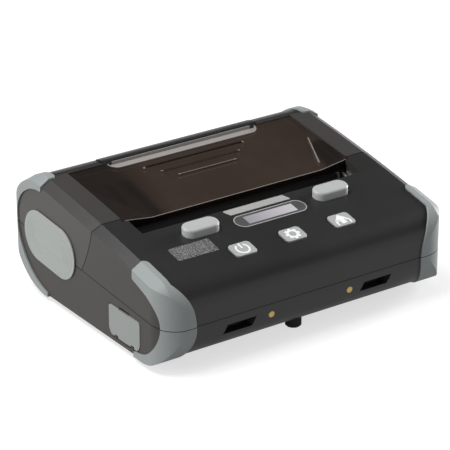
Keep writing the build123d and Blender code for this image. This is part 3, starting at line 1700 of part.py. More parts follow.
# Paper bay: guide rod, the two roll guides that slide on it, paper sensor
with BuildPart() as guide_rod:
    add(
        rod(-guide_rod_half_length, guide_rod_half_length, guide_rod_y, guide_rod_z, guide_rod_radius)
    )
guide_rod.part.label = "guide_rod"
export_step(guide_rod.part, "parts/guide_rod.step")

arm_run = (guide_centre[0] - guide_rod_y, guide_centre[1] - guide_rod_z)
arm_length = math.hypot(arm_run[0], arm_run[1])
arm_tilt = math.degrees(math.atan2(arm_run[1], arm_run[0]))
for side_name, side in sides:
    inner_face = guide_x * side
    outer_face = (guide_x + guide_thickness) * side
    with BuildPart() as roll_guide:
        add(rod(inner_face, outer_face, guide_centre[0], guide_centre[1], guide_disc_radius))
        fillet(roll_guide.edges().filter_by(GeomType.CIRCLE), guide_thickness / 4)
        add(
            rod(
                (guide_x - guide_hub_depth) * side,
                outer_face,
                guide_centre[0],
                guide_centre[1],
                guide_hub_radius,
            )
        )
        hub_face = roll_guide.faces().filter_by(Axis.X).sort_by(Axis.X)[0 if side > 0 else -1]
        chamfer(hub_face.edges(), guide_hub_taper)
        with BuildSketch(Plane.YZ.offset(min(inner_face, outer_face))):
            with Locations(
                ((guide_centre[0] + guide_rod_y) / 2, (guide_centre[1] + guide_rod_z) / 2)
            ):
                Rectangle(arm_length, guide_arm_width, rotation=arm_tilt)
        extrude(amount=guide_thickness)
        add(
            rod(
                inner_face,
                (guide_x + guide_foot_width) * side,
                guide_rod_y,
                guide_rod_z,
                guide_foot_radius,
            )
        )
        add(
            rod(-far, far, guide_rod_y, guide_rod_z, guide_rod_radius + pin_clearance),
            mode=Mode.SUBTRACT,
        )
    roll_guide.part.label = f"roll_guide_{side_name}"
    export_step(roll_guide.part, f"parts/roll_guide_{side_name}.step")

bay_face_y = bay_wall_y + bay_wall_thickness
with BuildPart() as paper_sensor:
    add(
        block(
            (sensor_x - sensor_size[0] / 2, bay_face_y, bay_wall_top_z - sensor_size[2]),
            (sensor_x + sensor_size[0] / 2, bay_face_y + sensor_size[1], bay_wall_top_z),
        )
    )
    add(
        upright(
            sensor_x,
            bay_face_y + sensor_size[1] / 2,
            bay_wall_top_z,
            bay_wall_top_z + sensor_nib_height,
            sensor_nib_radius,
        )
    )
paper_sensor.part.label = "paper_sensor"
export_step(paper_sensor.part, "parts/paper_sensor.step")

# Cover: the rear upper shell, with rails and a ledge that carry the window
window_edge = window_half_width + window_gap
window_back_y = window_rear[0] + window_gap
ledge_edge = window_half_width - ledge_width
rail_edge = window_edge + rail_wall
with BuildPart() as cover_rails:
    extrude(
        window_section(-rail_edge, rail_wall_front_y, window_back_y + rail_wall, -rail_depth, far),
        amount=2 * rail_edge,
    )
    extrude(
        window_section(-window_edge, -far, window_back_y, -window_thickness, 2 * far),
        amount=2 * window_edge,
        mode=Mode.SUBTRACT,
    )
    extrude(
        window_section(-ledge_edge, -far, window_rear[0] - ledge_width, -2 * rail_depth, far),
        amount=2 * ledge_edge,
        mode=Mode.SUBTRACT,
    )
    add(outside, mode=Mode.INTERSECT)

with BuildPart() as paper_cover:
    add(shell.part)
    add(upper_space, mode=Mode.INTERSECT)
    add(behind_cover_seam, mode=Mode.INTERSECT)
    add(
        block((-window_edge, -far, slot_wall_bottom_z), (window_edge, window_back_y, far)),
        mode=Mode.SUBTRACT,
    )
    add(cover_rails.part)
    for x0, x1 in cover_spans:
        add(rod(x0 + knuckle_gap, x1 - knuckle_gap, hinge_y, hinge_z, knuckle_radius))
    for x0, x1 in case_spans:
        add(
            rod(x0 - knuckle_gap, x1 + knuckle_gap, hinge_y, hinge_z, relief_radius),
            mode=Mode.SUBTRACT,
        )
    add(pin_bore, mode=Mode.SUBTRACT)
    for seat_part in guard_seats:
        add(seat_part, mode=Mode.SUBTRACT)
    add(
        skin_piece(strip_space(inlay_gap), guard_outside, envelope(strip_depth + inlay_gap / 2)),
        mode=Mode.SUBTRACT,
    )
paper_cover.part.label = "paper_cover"
export_step(paper_cover.part, "parts/paper_cover.step")

with BuildPart() as rear_strip:
    add(skin_piece(strip_space(0.0), envelope(-strip_proud), envelope(strip_depth)))
rear_strip.part.label = "rear_strip"
export_step(rear_strip.part, "parts/rear_strip.step")

# Window: a slanted plate with a lip over the slot, raised corner facets, scoop and ribs
with BuildPart() as scoop:
    with BuildSketch(Plane.XY):
        with Locations((0, window_rear[0])):
            SlotOverall(2 * scoop_half_length, 2 * scoop_width)
    extrude(amount=far)
    extrude(
        window_section(-scoop_half_length, -far, far, -scoop_depth, far),
        amount=2 * scoop_half_length,
        mode=Mode.INTERSECT,
    )

with BuildPart() as cover_window:
    extrude(
        window_section(-window_half_width, window_front[0], window_rear[0], -window_thickness, 0.0),
        amount=2 * window_half_width,
    )
    add(
        block(
            (-window_half_width, window_front[0], window_front[1] - lip_depth),
            (window_half_width, window_front[0] + lip_length, window_front[1] - window_thickness / 2),
        )
    )
    for side_name, side in sides:
        with BuildSketch(Plane.XZ.offset(-window_front[0])) as facet_front:
            with BuildLine():
                Polyline(
                    (facet_inner_x * side, window_front[1]),
                    (window_half_width * side, window_front[1]),
                    (window_half_width * side, crown_z(window_front[0]) - facet_drop),
                    close=True,
                )
            make_face()
        facet_rear = Vertex(window_half_width * side, facet_rear_y, window_z(facet_rear_y))
        loft([facet_front.sketch.face(), facet_rear], ruled=True)
    add(scoop.part, mode=Mode.SUBTRACT)
    for half_length, y in window_rib_rows:
        extrude(
            window_section(
                -half_length,
                y - window_rib_width / 2,
                y + window_rib_width / 2,
                -window_thickness / 2,
                window_rib_height,
            ),
            amount=2 * half_length,
        )
cover_window.part.label = "cover_window"
export_step(cover_window.part, "parts/cover_window.step")

# Carrier under the window: a beam between the side walls, with an ear at each end of the platen
beam_front_y = platen_y + platen_radius + carrier_gap
beam_rear_y = beam_front_y + carrier_thickness
cover_inner_x = half_width - wall
with BuildPart() as platen_carrier:
    add(
        block(
            (-bush_outer_x, beam_front_y, carrier_bottom_z), (bush_outer_x, beam_rear_y, carrier_top_z)
        )
    )
    add(
        block(
            (-cover_inner_x, beam_front_y, carrier_top_z - carrier_tab_height),
            (cover_inner_x, beam_rear_y, carrier_top_z),
        )
    )
    for side_name, side in sides:
        ear_ends = sorted((bush_inner_x * side, bush_outer_x * side))
        add(rod(ear_ends[0], ear_ends[1], platen_y, platen_z, ear_radius))
        add(
            block(
                (ear_ends[0], platen_y, platen_z - ear_radius),
                (ear_ends[1], beam_rear_y, platen_z + ear_radius),
            )
        )
    add(rod(-far, far, platen_y, platen_z, bush_radius), mode=Mode.SUBTRACT)
platen_carrier.part.label = "platen_carrier"
export_step(platen_carrier.part, "parts/platen_carrier.step")

with BuildPart() as platen_bushes:
    for side_name, side in sides:
        add(rod(bush_inner_x * side, bush_outer_x * side, platen_y, platen_z, bush_radius))
    add(
        rod(-far, far, platen_y, platen_z, shaft_journal_radius + pin_clearance),
        mode=Mode.SUBTRACT,
    )
platen_bushes.part.label = "platen_bushes"
export_step(platen_bushes.part, "parts/platen_bushes.step")

# Platen: rubber roller on a stepped steel shaft
with BuildPart() as platen_roller:
    add(rod(-platen_half_length, platen_half_length, platen_y, platen_z, platen_radius))
    add(rod(-far, far, platen_y, platen_z, shaft_radius + rod_fit), mode=Mode.SUBTRACT)
platen_roller.part.label = "platen_roller"
export_step(platen_roller.part, "parts/platen_roller.step")

with BuildPart() as platen_shaft:
    shoulder_x = platen_half_length + shaft_shoulder
    add(rod(-shoulder_x, shoulder_x, platen_y, platen_z, shaft_radius))
    add(
        rod(
            gear_outer_x - shaft_overhang,
            bush_outer_x + shaft_overhang,
            platen_y,
            platen_z,
            shaft_journal_radius,
        )
    )
platen_shaft.part.label = "platen_shaft"
export_step(platen_shaft.part, "parts/platen_shaft.step")

# Pin through the knuckles
with BuildPart() as hinge_pin:
    add(rod(-hinge_half_length, hinge_half_length, hinge_y, hinge_z, hinge_pin_radius))
hinge_pin.part.label = "hinge_pin"
export_step(hinge_pin.part, "parts/hinge_pin.step")
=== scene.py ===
"""Looks of a portable thermal printer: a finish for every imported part, key marks and fittings.

Every length is in metres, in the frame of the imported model. Colours are linear.
"""

import json
import logging
import math
from collections.abc import Callable
from dataclasses import dataclass
from enum import Enum

import bpy
from mathutils import Matrix, Vector


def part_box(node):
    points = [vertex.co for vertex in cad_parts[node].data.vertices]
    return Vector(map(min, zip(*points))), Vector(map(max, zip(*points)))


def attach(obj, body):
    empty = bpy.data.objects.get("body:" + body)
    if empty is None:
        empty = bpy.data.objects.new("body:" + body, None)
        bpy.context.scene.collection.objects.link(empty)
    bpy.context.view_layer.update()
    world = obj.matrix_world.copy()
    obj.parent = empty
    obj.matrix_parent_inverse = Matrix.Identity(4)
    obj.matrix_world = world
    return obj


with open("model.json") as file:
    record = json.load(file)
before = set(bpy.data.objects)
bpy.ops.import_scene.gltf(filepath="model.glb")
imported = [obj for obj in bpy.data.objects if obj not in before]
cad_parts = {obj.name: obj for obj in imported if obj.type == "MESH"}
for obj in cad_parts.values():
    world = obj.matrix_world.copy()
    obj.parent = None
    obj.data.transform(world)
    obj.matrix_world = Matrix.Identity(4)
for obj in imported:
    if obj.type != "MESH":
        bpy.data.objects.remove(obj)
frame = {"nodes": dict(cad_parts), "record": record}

logging.basicConfig(level=logging.INFO, format="%(message)s")
log = logging.getLogger("printer")

Socket = bpy.types.NodeSocket
Node = bpy.types.Node
Material = bpy.types.Material
Outputs = bpy.types.NodeOutputs
Piece = bpy.types.Object

MM = 0.001

# Seam between the lower case and the shells above it: height at Y = 0, slope and colour
SEAM_LEVEL = 27.0 * MM
SEAM_SLOPE = 0.076
SEAM_COLOUR = (0.002, 0.002, 0.002)

# Soft edge of a painted shape
EDGE = 0.2 * MM

# Span of a mask
UNIT = (0.0, 1.0)

# How strongly the patches left by handling show in the roughness
CONTRAST = 1.6

DUST_COLOUR = (0.5, 0.49, 0.46)


class Body(Enum):
    """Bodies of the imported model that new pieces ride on."""

    CASE = "case"
    POWER_KEY = "power_key_body"
    SETTINGS_KEY = "settings_key_body"
    FEED_KEY = "feed_key_body"


def placed(across: Vector, along: Vector, out: Vector, centre: Vector) -> Matrix:
    """Make the matrix that turns X, Y and Z to three directions and moves to a centre."""
    rows = [(across[i], along[i], out[i], centre[i]) for i in range(3)]
    return Matrix((*rows, (0.0, 0.0, 0.0, 1.0)))


class Graph:
    """A node tree with short ways to add nodes and join them."""

    # Places of the factor and the two colours in a colour mix, and of its result
    MIX_INPUTS = (0, 6, 7)
    MIX_RESULT = 2

    def __init__(self, tree: bpy.types.NodeTree) -> None:
        """Keep the tree of a material, a world or a group."""
        self.tree = tree

    def node(self, kind: str, **settings: object) -> Node:
        """Add a node.

        Args:
            kind: Identifier of the node without its ShaderNode prefix.
            settings: Properties of the node.

        Returns:
            The new node.
        """
        new = self.tree.nodes.new(f"ShaderNode{kind}")
        for key, value in settings.items():
            setattr(new, key, value)
        return new

    def join(self, source: Socket, target: Socket) -> None:
        """Link an output to an input."""
        self.tree.links.new(source, target)

    def give(self, target: Socket, value: object) -> None:
        """Give an input its value.

        Args:
            target: The input.
            value: Number, colour or another node's output, or None to leave it alone.
        """
        if isinstance(value, Socket):
            self.join(value, target)
        elif isinstance(value, tuple):
            target.default_value = (*value, 1.0)
        elif value is not None:
            target.default_value = value

    def math(
        self, operation: str, first: object, second: object = None, clamp: bool = False
    ) -> Socket:
        """Add a math node.

        Args:
            operation: Name of the operation.
            first: Number or socket.
            second: Number or socket, or None where the operation takes one value.
            clamp: Whether the result is kept between 0 and 1.

        Returns:
            The result's socket.
        """
        new = self.node("Math", operation=operation, use_clamp=clamp)
        self.give(new.inputs[0], first)
        self.give(new.inputs[1], second)
        return new.outputs[0]

    def blend(self, mask: object, low: object, high: object) -> Socket:
        """Mix two colours.

        Args:
            mask: Number or socket, 0 for low and 1 for high.
            low: Colour or socket.
            high: Colour or socket.

        Returns:
            The mixed colour's socket.
        """
        new = self.node("Mix", data_type="RGBA")
        for place, value in zip(self.MIX_INPUTS, (mask, low, high)):
            self.give(new.inputs[place], value)
        return new.outputs[self.MIX_RESULT]

    def vector(
        self, operation: str, first: Socket, second: Socket, output: str = "Vector"
    ) -> Socket:
        """Add a vector math node.

        Args:
            operation: Name of the operation.
            first: Socket of a vector.
            second: Socket of a vector.
            output: Name of the output that is wanted.

        Returns:
            The result's socket.
        """
        new = self.node("VectorMath", operation=operation)
        self.join(first, new.inputs[0])
        self.join(second, new.inputs[1])
        return new.outputs[output]

    def flat(self, across: Socket, along: Socket) -> Socket:
        """Make a vector with no height.

        Args:
            across: Its X.
            along: Its Y.

        Returns:
            The vector's socket.
        """
        new = self.node("CombineXYZ")
        self.join(across, new.inputs["X"])
        self.join(along, new.inputs["Y"])
        return new.outputs[0]

    def remap(
        self, value: Socket, source: tuple = UNIT, target: tuple = UNIT, smooth: bool = False
    ) -> Socket:
        """Map a value from one span to another, no further than its ends.

        Args:
            value: The value.
            source: Ends of the span that it comes from.
            target: Ends of the span that it goes to.
            smooth: Whether the ends are eased.

        Returns:
            The mapped value's socket.
        """
        kind = "SMOOTHSTEP" if smooth else "LINEAR"
        new = self.node("MapRange", interpolation_type=kind)
        for place, given in enumerate((value, *source, *target)):
            self.give(new.inputs[place], given)
        return new.outputs[0]

    def position(self) -> Socket:
        """Give the place on the object in its own coordinates."""
        return self.node("TexCoord").outputs["Object"]

    def parts(self, vector: Socket) -> Outputs:
        """Split a vector.

        Args:
            vector: Socket of the vector.

        Returns:
            Its outputs X, Y and Z.
        """
        split = self.node("SeparateXYZ")
        self.join(vector, split.inputs[0])
        return split.outputs

    def noise(self, vector: Socket, scale: Socket, detail: float, roughness: float = 0.5) -> Socket:
        """Add a noise texture.

        Args:
            vector: Place that it is read at.
            scale: Its scale.
            detail: Number of its finer layers.
            roughness: Strength of each finer layer.

        Returns:
            The noise's socket.
        """
        new = self.node("TexNoise")
        new.inputs["Detail"].default_value = detail
        new.inputs["Roughness"].default_value = roughness
        self.join(vector, new.inputs["Vector"])
        self.join(scale, new.inputs["Scale"])
        return new.outputs[0]


class Effects:
    """Node groups that the finishes share."""

    # Scale of the grain's noise as a share of its cells
    GRAIN_NOISE = 0.6

    # Part of the noise that counts as specks of dust
    SPECKS = (0.66, 0.78)

    # Keeps the length of a band from being zero
    TINY = 1e-12

    made: dict = {}

    @classmethod
    def _start(cls, name: str, inputs: dict, outputs: tuple = ("Mask",)) -> tuple:
        """Make an empty group.

        Args:
            name: Name of the group.
            inputs: Default value of each float input.
            outputs: Names of the float outputs.

        Returns:
            Its graph, what goes in and what must come out.
        """
        tree = bpy.data.node_groups.new(name, "ShaderNodeTree")
        for key, value in inputs.items():
            socket = tree.interface.new_socket(key, in_out="INPUT", socket_type="NodeSocketFloat")
            socket.default_value = value
        for key in outputs:
            tree.interface.new_socket(key, in_out="OUTPUT", socket_type="NodeSocketFloat")
        start = tree.nodes.new("NodeGroupInput")
        end = tree.nodes.new("NodeGroupOutput")
        cls.made[name] = tree
        return Graph(tree), start.outputs, end.inputs

    @classmethod
    def build(cls) -> None:
        """Build every group once."""
        textures = (cls._grain, cls._handling, cls._dust, cls._brushing, cls._speckle)
        for make in (*textures, cls._rectangle, cls._band, cls._facing, cls._seam):
            make()

    @classmethod
    def _grain(cls) -> None:
        """Spark-eroded texture of moulded plastic and rubber."""
        inputs = {"Cells": 1500.0, "Softness": 0.5}
        graph, given, wanted = cls._start("mould_grain", inputs, ("Height", "Shade"))
        place = graph.position()
        cells = graph.node("TexVoronoi", feature="SMOOTH_F1")
        graph.join(place, cells.inputs["Vector"])
        graph.join(given["Cells"], cells.inputs["Scale"])
        graph.join(given["Softness"], cells.inputs["Smoothness"])
        scale = graph.math("MULTIPLY", given["Cells"], cls.GRAIN_NOISE)
        noise = graph.noise(place, scale, detail=3.0)
        both = graph.math("ADD", cells.outputs["Distance"], noise)
        graph.join(graph.math("MULTIPLY", both, 0.5), wanted["Height"])
        graph.join(noise, wanted["Shade"])

    @classmethod
    def _handling(cls) -> None:
        """Broad, faint patches where hands and cloths have polished a surface."""
        graph, given, wanted = cls._start("handling", {"Patches": 22.0, "Contrast": 1.0})
        broad = graph.noise(graph.position(), given["Patches"], detail=5.0, roughness=0.6)
        centred = graph.math("SUBTRACT", broad, 0.5)
        scaled = graph.math("MULTIPLY", centred, given["Contrast"])
        graph.join(graph.math("ADD", scaled, 0.5, clamp=True), wanted["Mask"])

    @classmethod
    def _dust(cls) -> None:
        """Sparse specks that settle on faces that look up."""
        graph, given, wanted = cls._start("dust", {"Specks": 2200.0, "Amount": 0.3})
        noise = graph.noise(graph.position(), given["Specks"], detail=2.0)
        specks = graph.remap(noise, cls.SPECKS)
        normal = graph.parts(graph.node("NewGeometry").outputs["Normal"])
        upward = graph.math("MAXIMUM", normal["Z"], 0.0)
        lying = graph.math("MULTIPLY", specks, upward)
        graph.join(graph.math("MULTIPLY", lying, given["Amount"]), wanted["Mask"])

    @classmethod
    def _brushing(cls) -> None:
        """Fine parallel scratches along X."""
        inputs = {"Lines": 900.0, "Length": 0.02}
        graph, given, wanted = cls._start("brushing", inputs, ("Height",))
        place = graph.parts(graph.position())
        drawn = graph.node("CombineXYZ")
        graph.join(graph.math("MULTIPLY", place["X"], given["Length"]), drawn.inputs["X"])
        graph.join(place["Y"], drawn.inputs["Y"])
        graph.join(place["Z"], drawn.inputs["Z"])
        noise = graph.noise(drawn.outputs[0], given["Lines"], detail=4.0)
        graph.join(noise, wanted["Height"])

    @classmethod
    def _speckle(cls) -> None:
        """Metal flakes in a film or a paint."""
        graph, given, wanted = cls._start("speckle", {"Flakes": 2600.0, "Cover": 0.5})
        flakes = graph.node("TexVoronoi")
        graph.join(graph.position(), flakes.inputs["Vector"])
        graph.join(given["Flakes"], flakes.inputs["Scale"])
        split = graph.node("SeparateColor")
        graph.join(flakes.outputs["Color"], split.inputs[0])
        graph.join(graph.math("LESS_THAN", split.outputs[0], given["Cover"]), wanted["Mask"])

    @classmethod
    def _rectangle(cls) -> None:
        """Upright rectangle round a centre: 1 inside, 0 outside, with a soft edge."""
        inputs = {"X": 0.0, "Y": 0.0, "Half X": 0.01, "Half Y": 0.01, "Soft": EDGE}
        graph, given, wanted = cls._start("rectangle", inputs)
        place = graph.parts(graph.position())
        masks = []
        for axis in ("X", "Y"):
            away = graph.math("ABSOLUTE", graph.math("SUBTRACT", place[axis], given[axis]))
            inward = graph.math("SUBTRACT", given[f"Half {axis}"], away)
            masks.append(graph.math("DIVIDE", inward, given["Soft"], clamp=True))
        graph.join(graph.math("MULTIPLY", *masks), wanted["Mask"])

    @classmethod
    def _band(cls) -> None:
        """Round-ended band along a line, seen from above: 1 inside, 0 outside, soft edge."""
        inputs = {"X1": 0.0, "Y1": 0.0, "X2": 0.01, "Y2": 0.0, "Half": 0.001, "Soft": EDGE}
        graph, given, wanted = cls._start("band", inputs)
        place = graph.parts(graph.position())
        point = graph.flat(place["X"], place["Y"])
        first = graph.flat(given["X1"], given["Y1"])
        second = graph.flat(given["X2"], given["Y2"])
        run = graph.vector("SUBTRACT", second, first)
        reach = graph.vector("SUBTRACT", point, first)
        length = graph.math("MAXIMUM", graph.vector("DOT_PRODUCT", run, run, "Value"), cls.TINY)
        passed = graph.vector("DOT_PRODUCT", reach, run, "Value")
        along = graph.node("VectorMath", operation="SCALE")
        graph.join(run, along.inputs[0])
        graph.join(graph.math("DIVIDE", passed, length, clamp=True), along.inputs["Scale"])
        away = graph.vector("DISTANCE", reach, along.outputs[0], "Value")
        inward = graph.math("SUBTRACT", given["Half"], away)
        graph.join(graph.math("DIVIDE", inward, given["Soft"], clamp=True), wanted["Mask"])

    @classmethod
    def _facing(cls) -> None:
        """Which way a face looks: 1 where it looks to a side, and 1 where it looks up."""
        inputs = {"Low": 0.55, "High": 0.95}
        graph, given, wanted = cls._start("facing", inputs, ("Side", "Up"))
        normal = graph.parts(graph.node("NewGeometry").outputs["Normal"])
        looks = {"Side": graph.math("ABSOLUTE", normal["X"]), "Up": normal["Z"]}
        for name, value in looks.items():
            ramp = graph.remap(value, (given["Low"], given["High"]), smooth=True)
            graph.join(ramp, wanted[name])

    @classmethod
    def _seam(cls) -> None:
        """Dark shadow in the sloping seam between the lower case and the shells above it."""
        inputs = {"Level": 0.0, "Slope": 0.0, "Half": 0.0003, "Soft": 0.00008}
        graph, given, wanted = cls._start("seam", inputs)
        place = graph.parts(graph.position())
        rise = graph.math("MULTIPLY", place["Y"], given["Slope"])
        height = graph.math("SUBTRACT", place["Z"], rise)
        away = graph.math("ABSOLUTE", graph.math("SUBTRACT", height, given["Level"]))
        inward = graph.math("SUBTRACT", given["Half"], away)
        graph.join(graph.math("DIVIDE", inward, given["Soft"], clamp=True), wanted["Mask"])

    @classmethod
    def place(cls, graph: Graph, name: str, **values: float) -> Outputs:
        """Place a group in a material.

        Args:
            graph: Graph of the material.
            name: Name of the group.
            values: Input values, with underscores for spaces.

        Returns:
            The outputs of the group's node.
        """
        new = graph.node("Group", node_tree=cls.made[name])
        for key, value in values.items():
            new.inputs[key.replace("_", " ")].default_value = value
        return new.outputs

    @classmethod
    def stripe(cls, graph: Graph, ends: tuple, half: float, soft: float = EDGE) -> Socket:
        """Place a band between two ends, X and Y of each, and give its mask."""
        x1, y1, x2, y2 = ends
        return cls.place(graph, "band", X1=x1, Y1=y1, X2=x2, Y2=y2, Half=half, Soft=soft)["Mask"]

    @classmethod
    def level_stripe(cls, graph: Graph, shape: tuple, soft: float = EDGE) -> Socket:
        """Place a band along X of a half length, Y and half width, and give its mask."""
        reach, row, half = shape
        return cls.stripe(graph, (-reach, row, reach, row), half, soft)


@dataclass(frozen=True)
class Finish:
    """A surface: its colour and gloss, how far they vary, and its relief.

    Attributes:
        name: Name of the material.
        colour: Main colour.
        roughness: Middle roughness.
        spread: How far the roughness varies either way.
        level: Specular level of the shader.
        patches: Scale of the patches left by handling.
        cells: Scale of the grain.
        depth: Depth of the relief.
        shade: How much darker the hollows are.
        metal: Metallic weight.
    """

    name: str
    colour: tuple
    roughness: float = 0.5
    spread: float = 0.05
    level: float = 0.5
    patches: float = 24.0
    cells: float = 1500.0
    depth: float = 0.02 * MM
    shade: float = 0.85
    metal: float = 0.0

    def toned(self, gain: float, lift: float = 0.0) -> tuple:
        """Give the main colour made lighter or darker."""
        return tuple(min(1.0, part * gain + lift) for part in self.colour)

    def grain(self, graph: Graph) -> Outputs:
        """Place the grain."""
        return Effects.place(graph, "mould_grain", Cells=self.cells)

    def paint(self, graph: Graph, shader: Node, touch: Socket) -> tuple:
        """Work out the colour and the relief.

        Args:
            graph: Graph of the material.
            shader: Its shader.
            touch: Mask of the patches left by handling.

        Returns:
            The colour and the height.
        """
        raise NotImplementedError

    def material(self) -> Material:
        """Build the material.

        Returns:
            The material.
        """
        material = bpy.data.materials.new(self.name)
        material.use_nodes = True
        material.diffuse_color = (*self.colour, 1.0)
        graph = Graph(material.node_tree)
        shader = material.node_tree.nodes["Principled BSDF"]
        shader.inputs["Specular IOR Level"].default_value = self.level
        shader.inputs["Metallic"].default_value = self.metal
        touch = Effects.place(graph, "handling", Patches=self.patches, Contrast=CONTRAST)["Mask"]
        span = (self.roughness - self.spread, self.roughness + self.spread)
        graph.join(graph.remap(touch, target=span), shader.inputs["Roughness"])
        colour, height = self.paint(graph, shader, touch)
        graph.join(colour, shader.inputs["Base Color"])
        relief = graph.node("Bump")
        relief.inputs["Strength"].default_value = 1.0
        relief.inputs["Distance"].default_value = self.depth
        graph.join(height, relief.inputs["Height"])
        graph.join(relief.outputs["Normal"], shader.inputs["Normal"])
        return material


@dataclass(frozen=True)
class Moulding(Finish):
    """Moulded plastic or rubber with a fine grain.

    Attributes:
        dust: Amount of dust on faces that look up.
        seam: Half width of the shadow in the seam that crosses the part, or 0.
        polish: Gain and lift of the colour where hands have polished it, and their share.
    """

    dust: float = 0.04
    seam: float = 0.0
    polish: tuple = (1.06, 0.001, 0.6)

    def settle(self, graph: Graph, base: Socket) -> Socket:
        """Add dust and the seam's shadow.

        Args:
            graph: Graph of the material.
            base: Colour so far.

        Returns:
            The colour with dust and shadow.
        """
        specks = Effects.place(graph, "dust", Amount=self.dust)
        base = graph.blend(specks["Mask"], base, DUST_COLOUR)
        if not self.seam:
            return base
        shadow = Effects.place(graph, "seam", Level=SEAM_LEVEL, Slope=SEAM_SLOPE, Half=self.seam)
        return graph.blend(shadow["Mask"], base, SEAM_COLOUR)

    def paint(self, graph: Graph, shader: Node, touch: Socket) -> tuple:
        """Shade the grain and lighten what hands have polished.

        Args:
            graph: Graph of the material.
            shader: Its shader.
            touch: Mask of the patches that hands have polished.

        Returns:
            The colour and the height.
        """
        grain = self.grain(graph)
        gain, lift, share = self.polish
        base = graph.blend(grain["Shade"], self.toned(self.shade), self.colour)
        worn = graph.math("MULTIPLY", touch, share)
        base = graph.blend(worn, base, self.toned(gain, lift))
        return self.settle(graph, base), grain["Height"]


@dataclass(frozen=True)
class Shell(Moulding):
    """Case plastic whose side walls and upward faces are painted lighter than its front, as painted
    light.

    Attributes:
        lit_side_colour: Painted light: colour of the faces that look to a side, lighter as if lit
            from the side.
        lit_top_colour: Painted light: colour of the faces that look up, lighter as if lit from
            above.
        band: Half length, Y and half width of a black band across the part, or None.
        band_soft: Soft edge of that band.
        band_colour: Its colour.
        scoop_highlight: Half length, Y and half width of the painted highlight on the wall behind
            the scoop, or None.
        scoop_highlight_colour: Colour of that painted highlight.
        hollow: Share of the hollows' colour in the grain, and that colour.
        worn: Share of the polished colour in the patches, and that colour.
    """

    lit_side_colour: tuple = (0.05, 0.045, 0.04)
    lit_top_colour: tuple = (0.02, 0.02, 0.02)
    band: tuple | None = None
    band_soft: float = 1.5 * MM
    band_colour: tuple = (0.004, 0.004, 0.004)
    scoop_highlight: tuple | None = None
    scoop_highlight_colour: tuple = (0.36, 0.345, 0.33)
    hollow: tuple = (0.75, (0.008, 0.008, 0.008))
    worn: tuple = (0.1, (0.06, 0.058, 0.055))

    def paint(self, graph: Graph, shader: Node, touch: Socket) -> tuple:
        """Paint the tops and the sides lighter as painted light, the band, and the painted
        highlight on the wall behind the scoop over the grain.

        Args:
            graph: Graph of the material.
            shader: Its shader.
            touch: Mask of the patches that hands have polished.

        Returns:
            The colour and the height.
        """
        grain = self.grain(graph)
        facing = Effects.place(graph, "facing")
        # Painted light: faces that look up are painted lighter, as if lit from above.
        base = graph.blend(facing["Up"], self.colour, self.lit_top_colour)
        if self.band:
            across = Effects.level_stripe(graph, self.band, self.band_soft)
            base = graph.blend(across, base, self.band_colour)
        # Painted highlight: the wall behind the scoop is painted light.
        if self.scoop_highlight:
            base = graph.blend(Effects.level_stripe(graph, self.scoop_highlight), base, self.scoop_highlight_colour)
        # Painted light: faces that look to a side are painted lighter, as if lit from the side.
        base = graph.blend(facing["Side"], base, self.lit_side_colour)
        share, colour = self.hollow
        hollow = graph.blend(share, base, colour)
        base = graph.blend(graph.remap(grain["Shade"], target=(self.shade, 1.0)), hollow, base)
        share, colour = self.worn
        base = graph.blend(graph.math("MULTIPLY", touch, share), base, colour)
        return self.settle(graph, base), grain["Height"]


@dataclass(frozen=True)
class Metal(Finish):
    """Bare or plated metal with brushing.

    Attributes:
        lines: Scale of the brush lines.
        stretch: How far the lines run along X, smaller is longer.
    """

    patches: float = 60.0
    depth: float = 0.004 * MM
    shade: float = 0.82
    metal: float = 1.0
    lines: float = 2500.0
    stretch: float = 0.03

    def paint(self, graph: Graph, shader: Node, touch: Socket) -> tuple:
        """Shade the brush lines.

        Args:
            graph: Graph of the material.
            shader: Its shader.
            touch: Mask of the patches that hands have polished.

        Returns:
            The colour and the height.
        """
        lines = Effects.place(graph, "brushing", Lines=self.lines, Length=self.stretch)["Height"]
        return graph.blend(lines, self.toned(self.shade), self.colour), lines


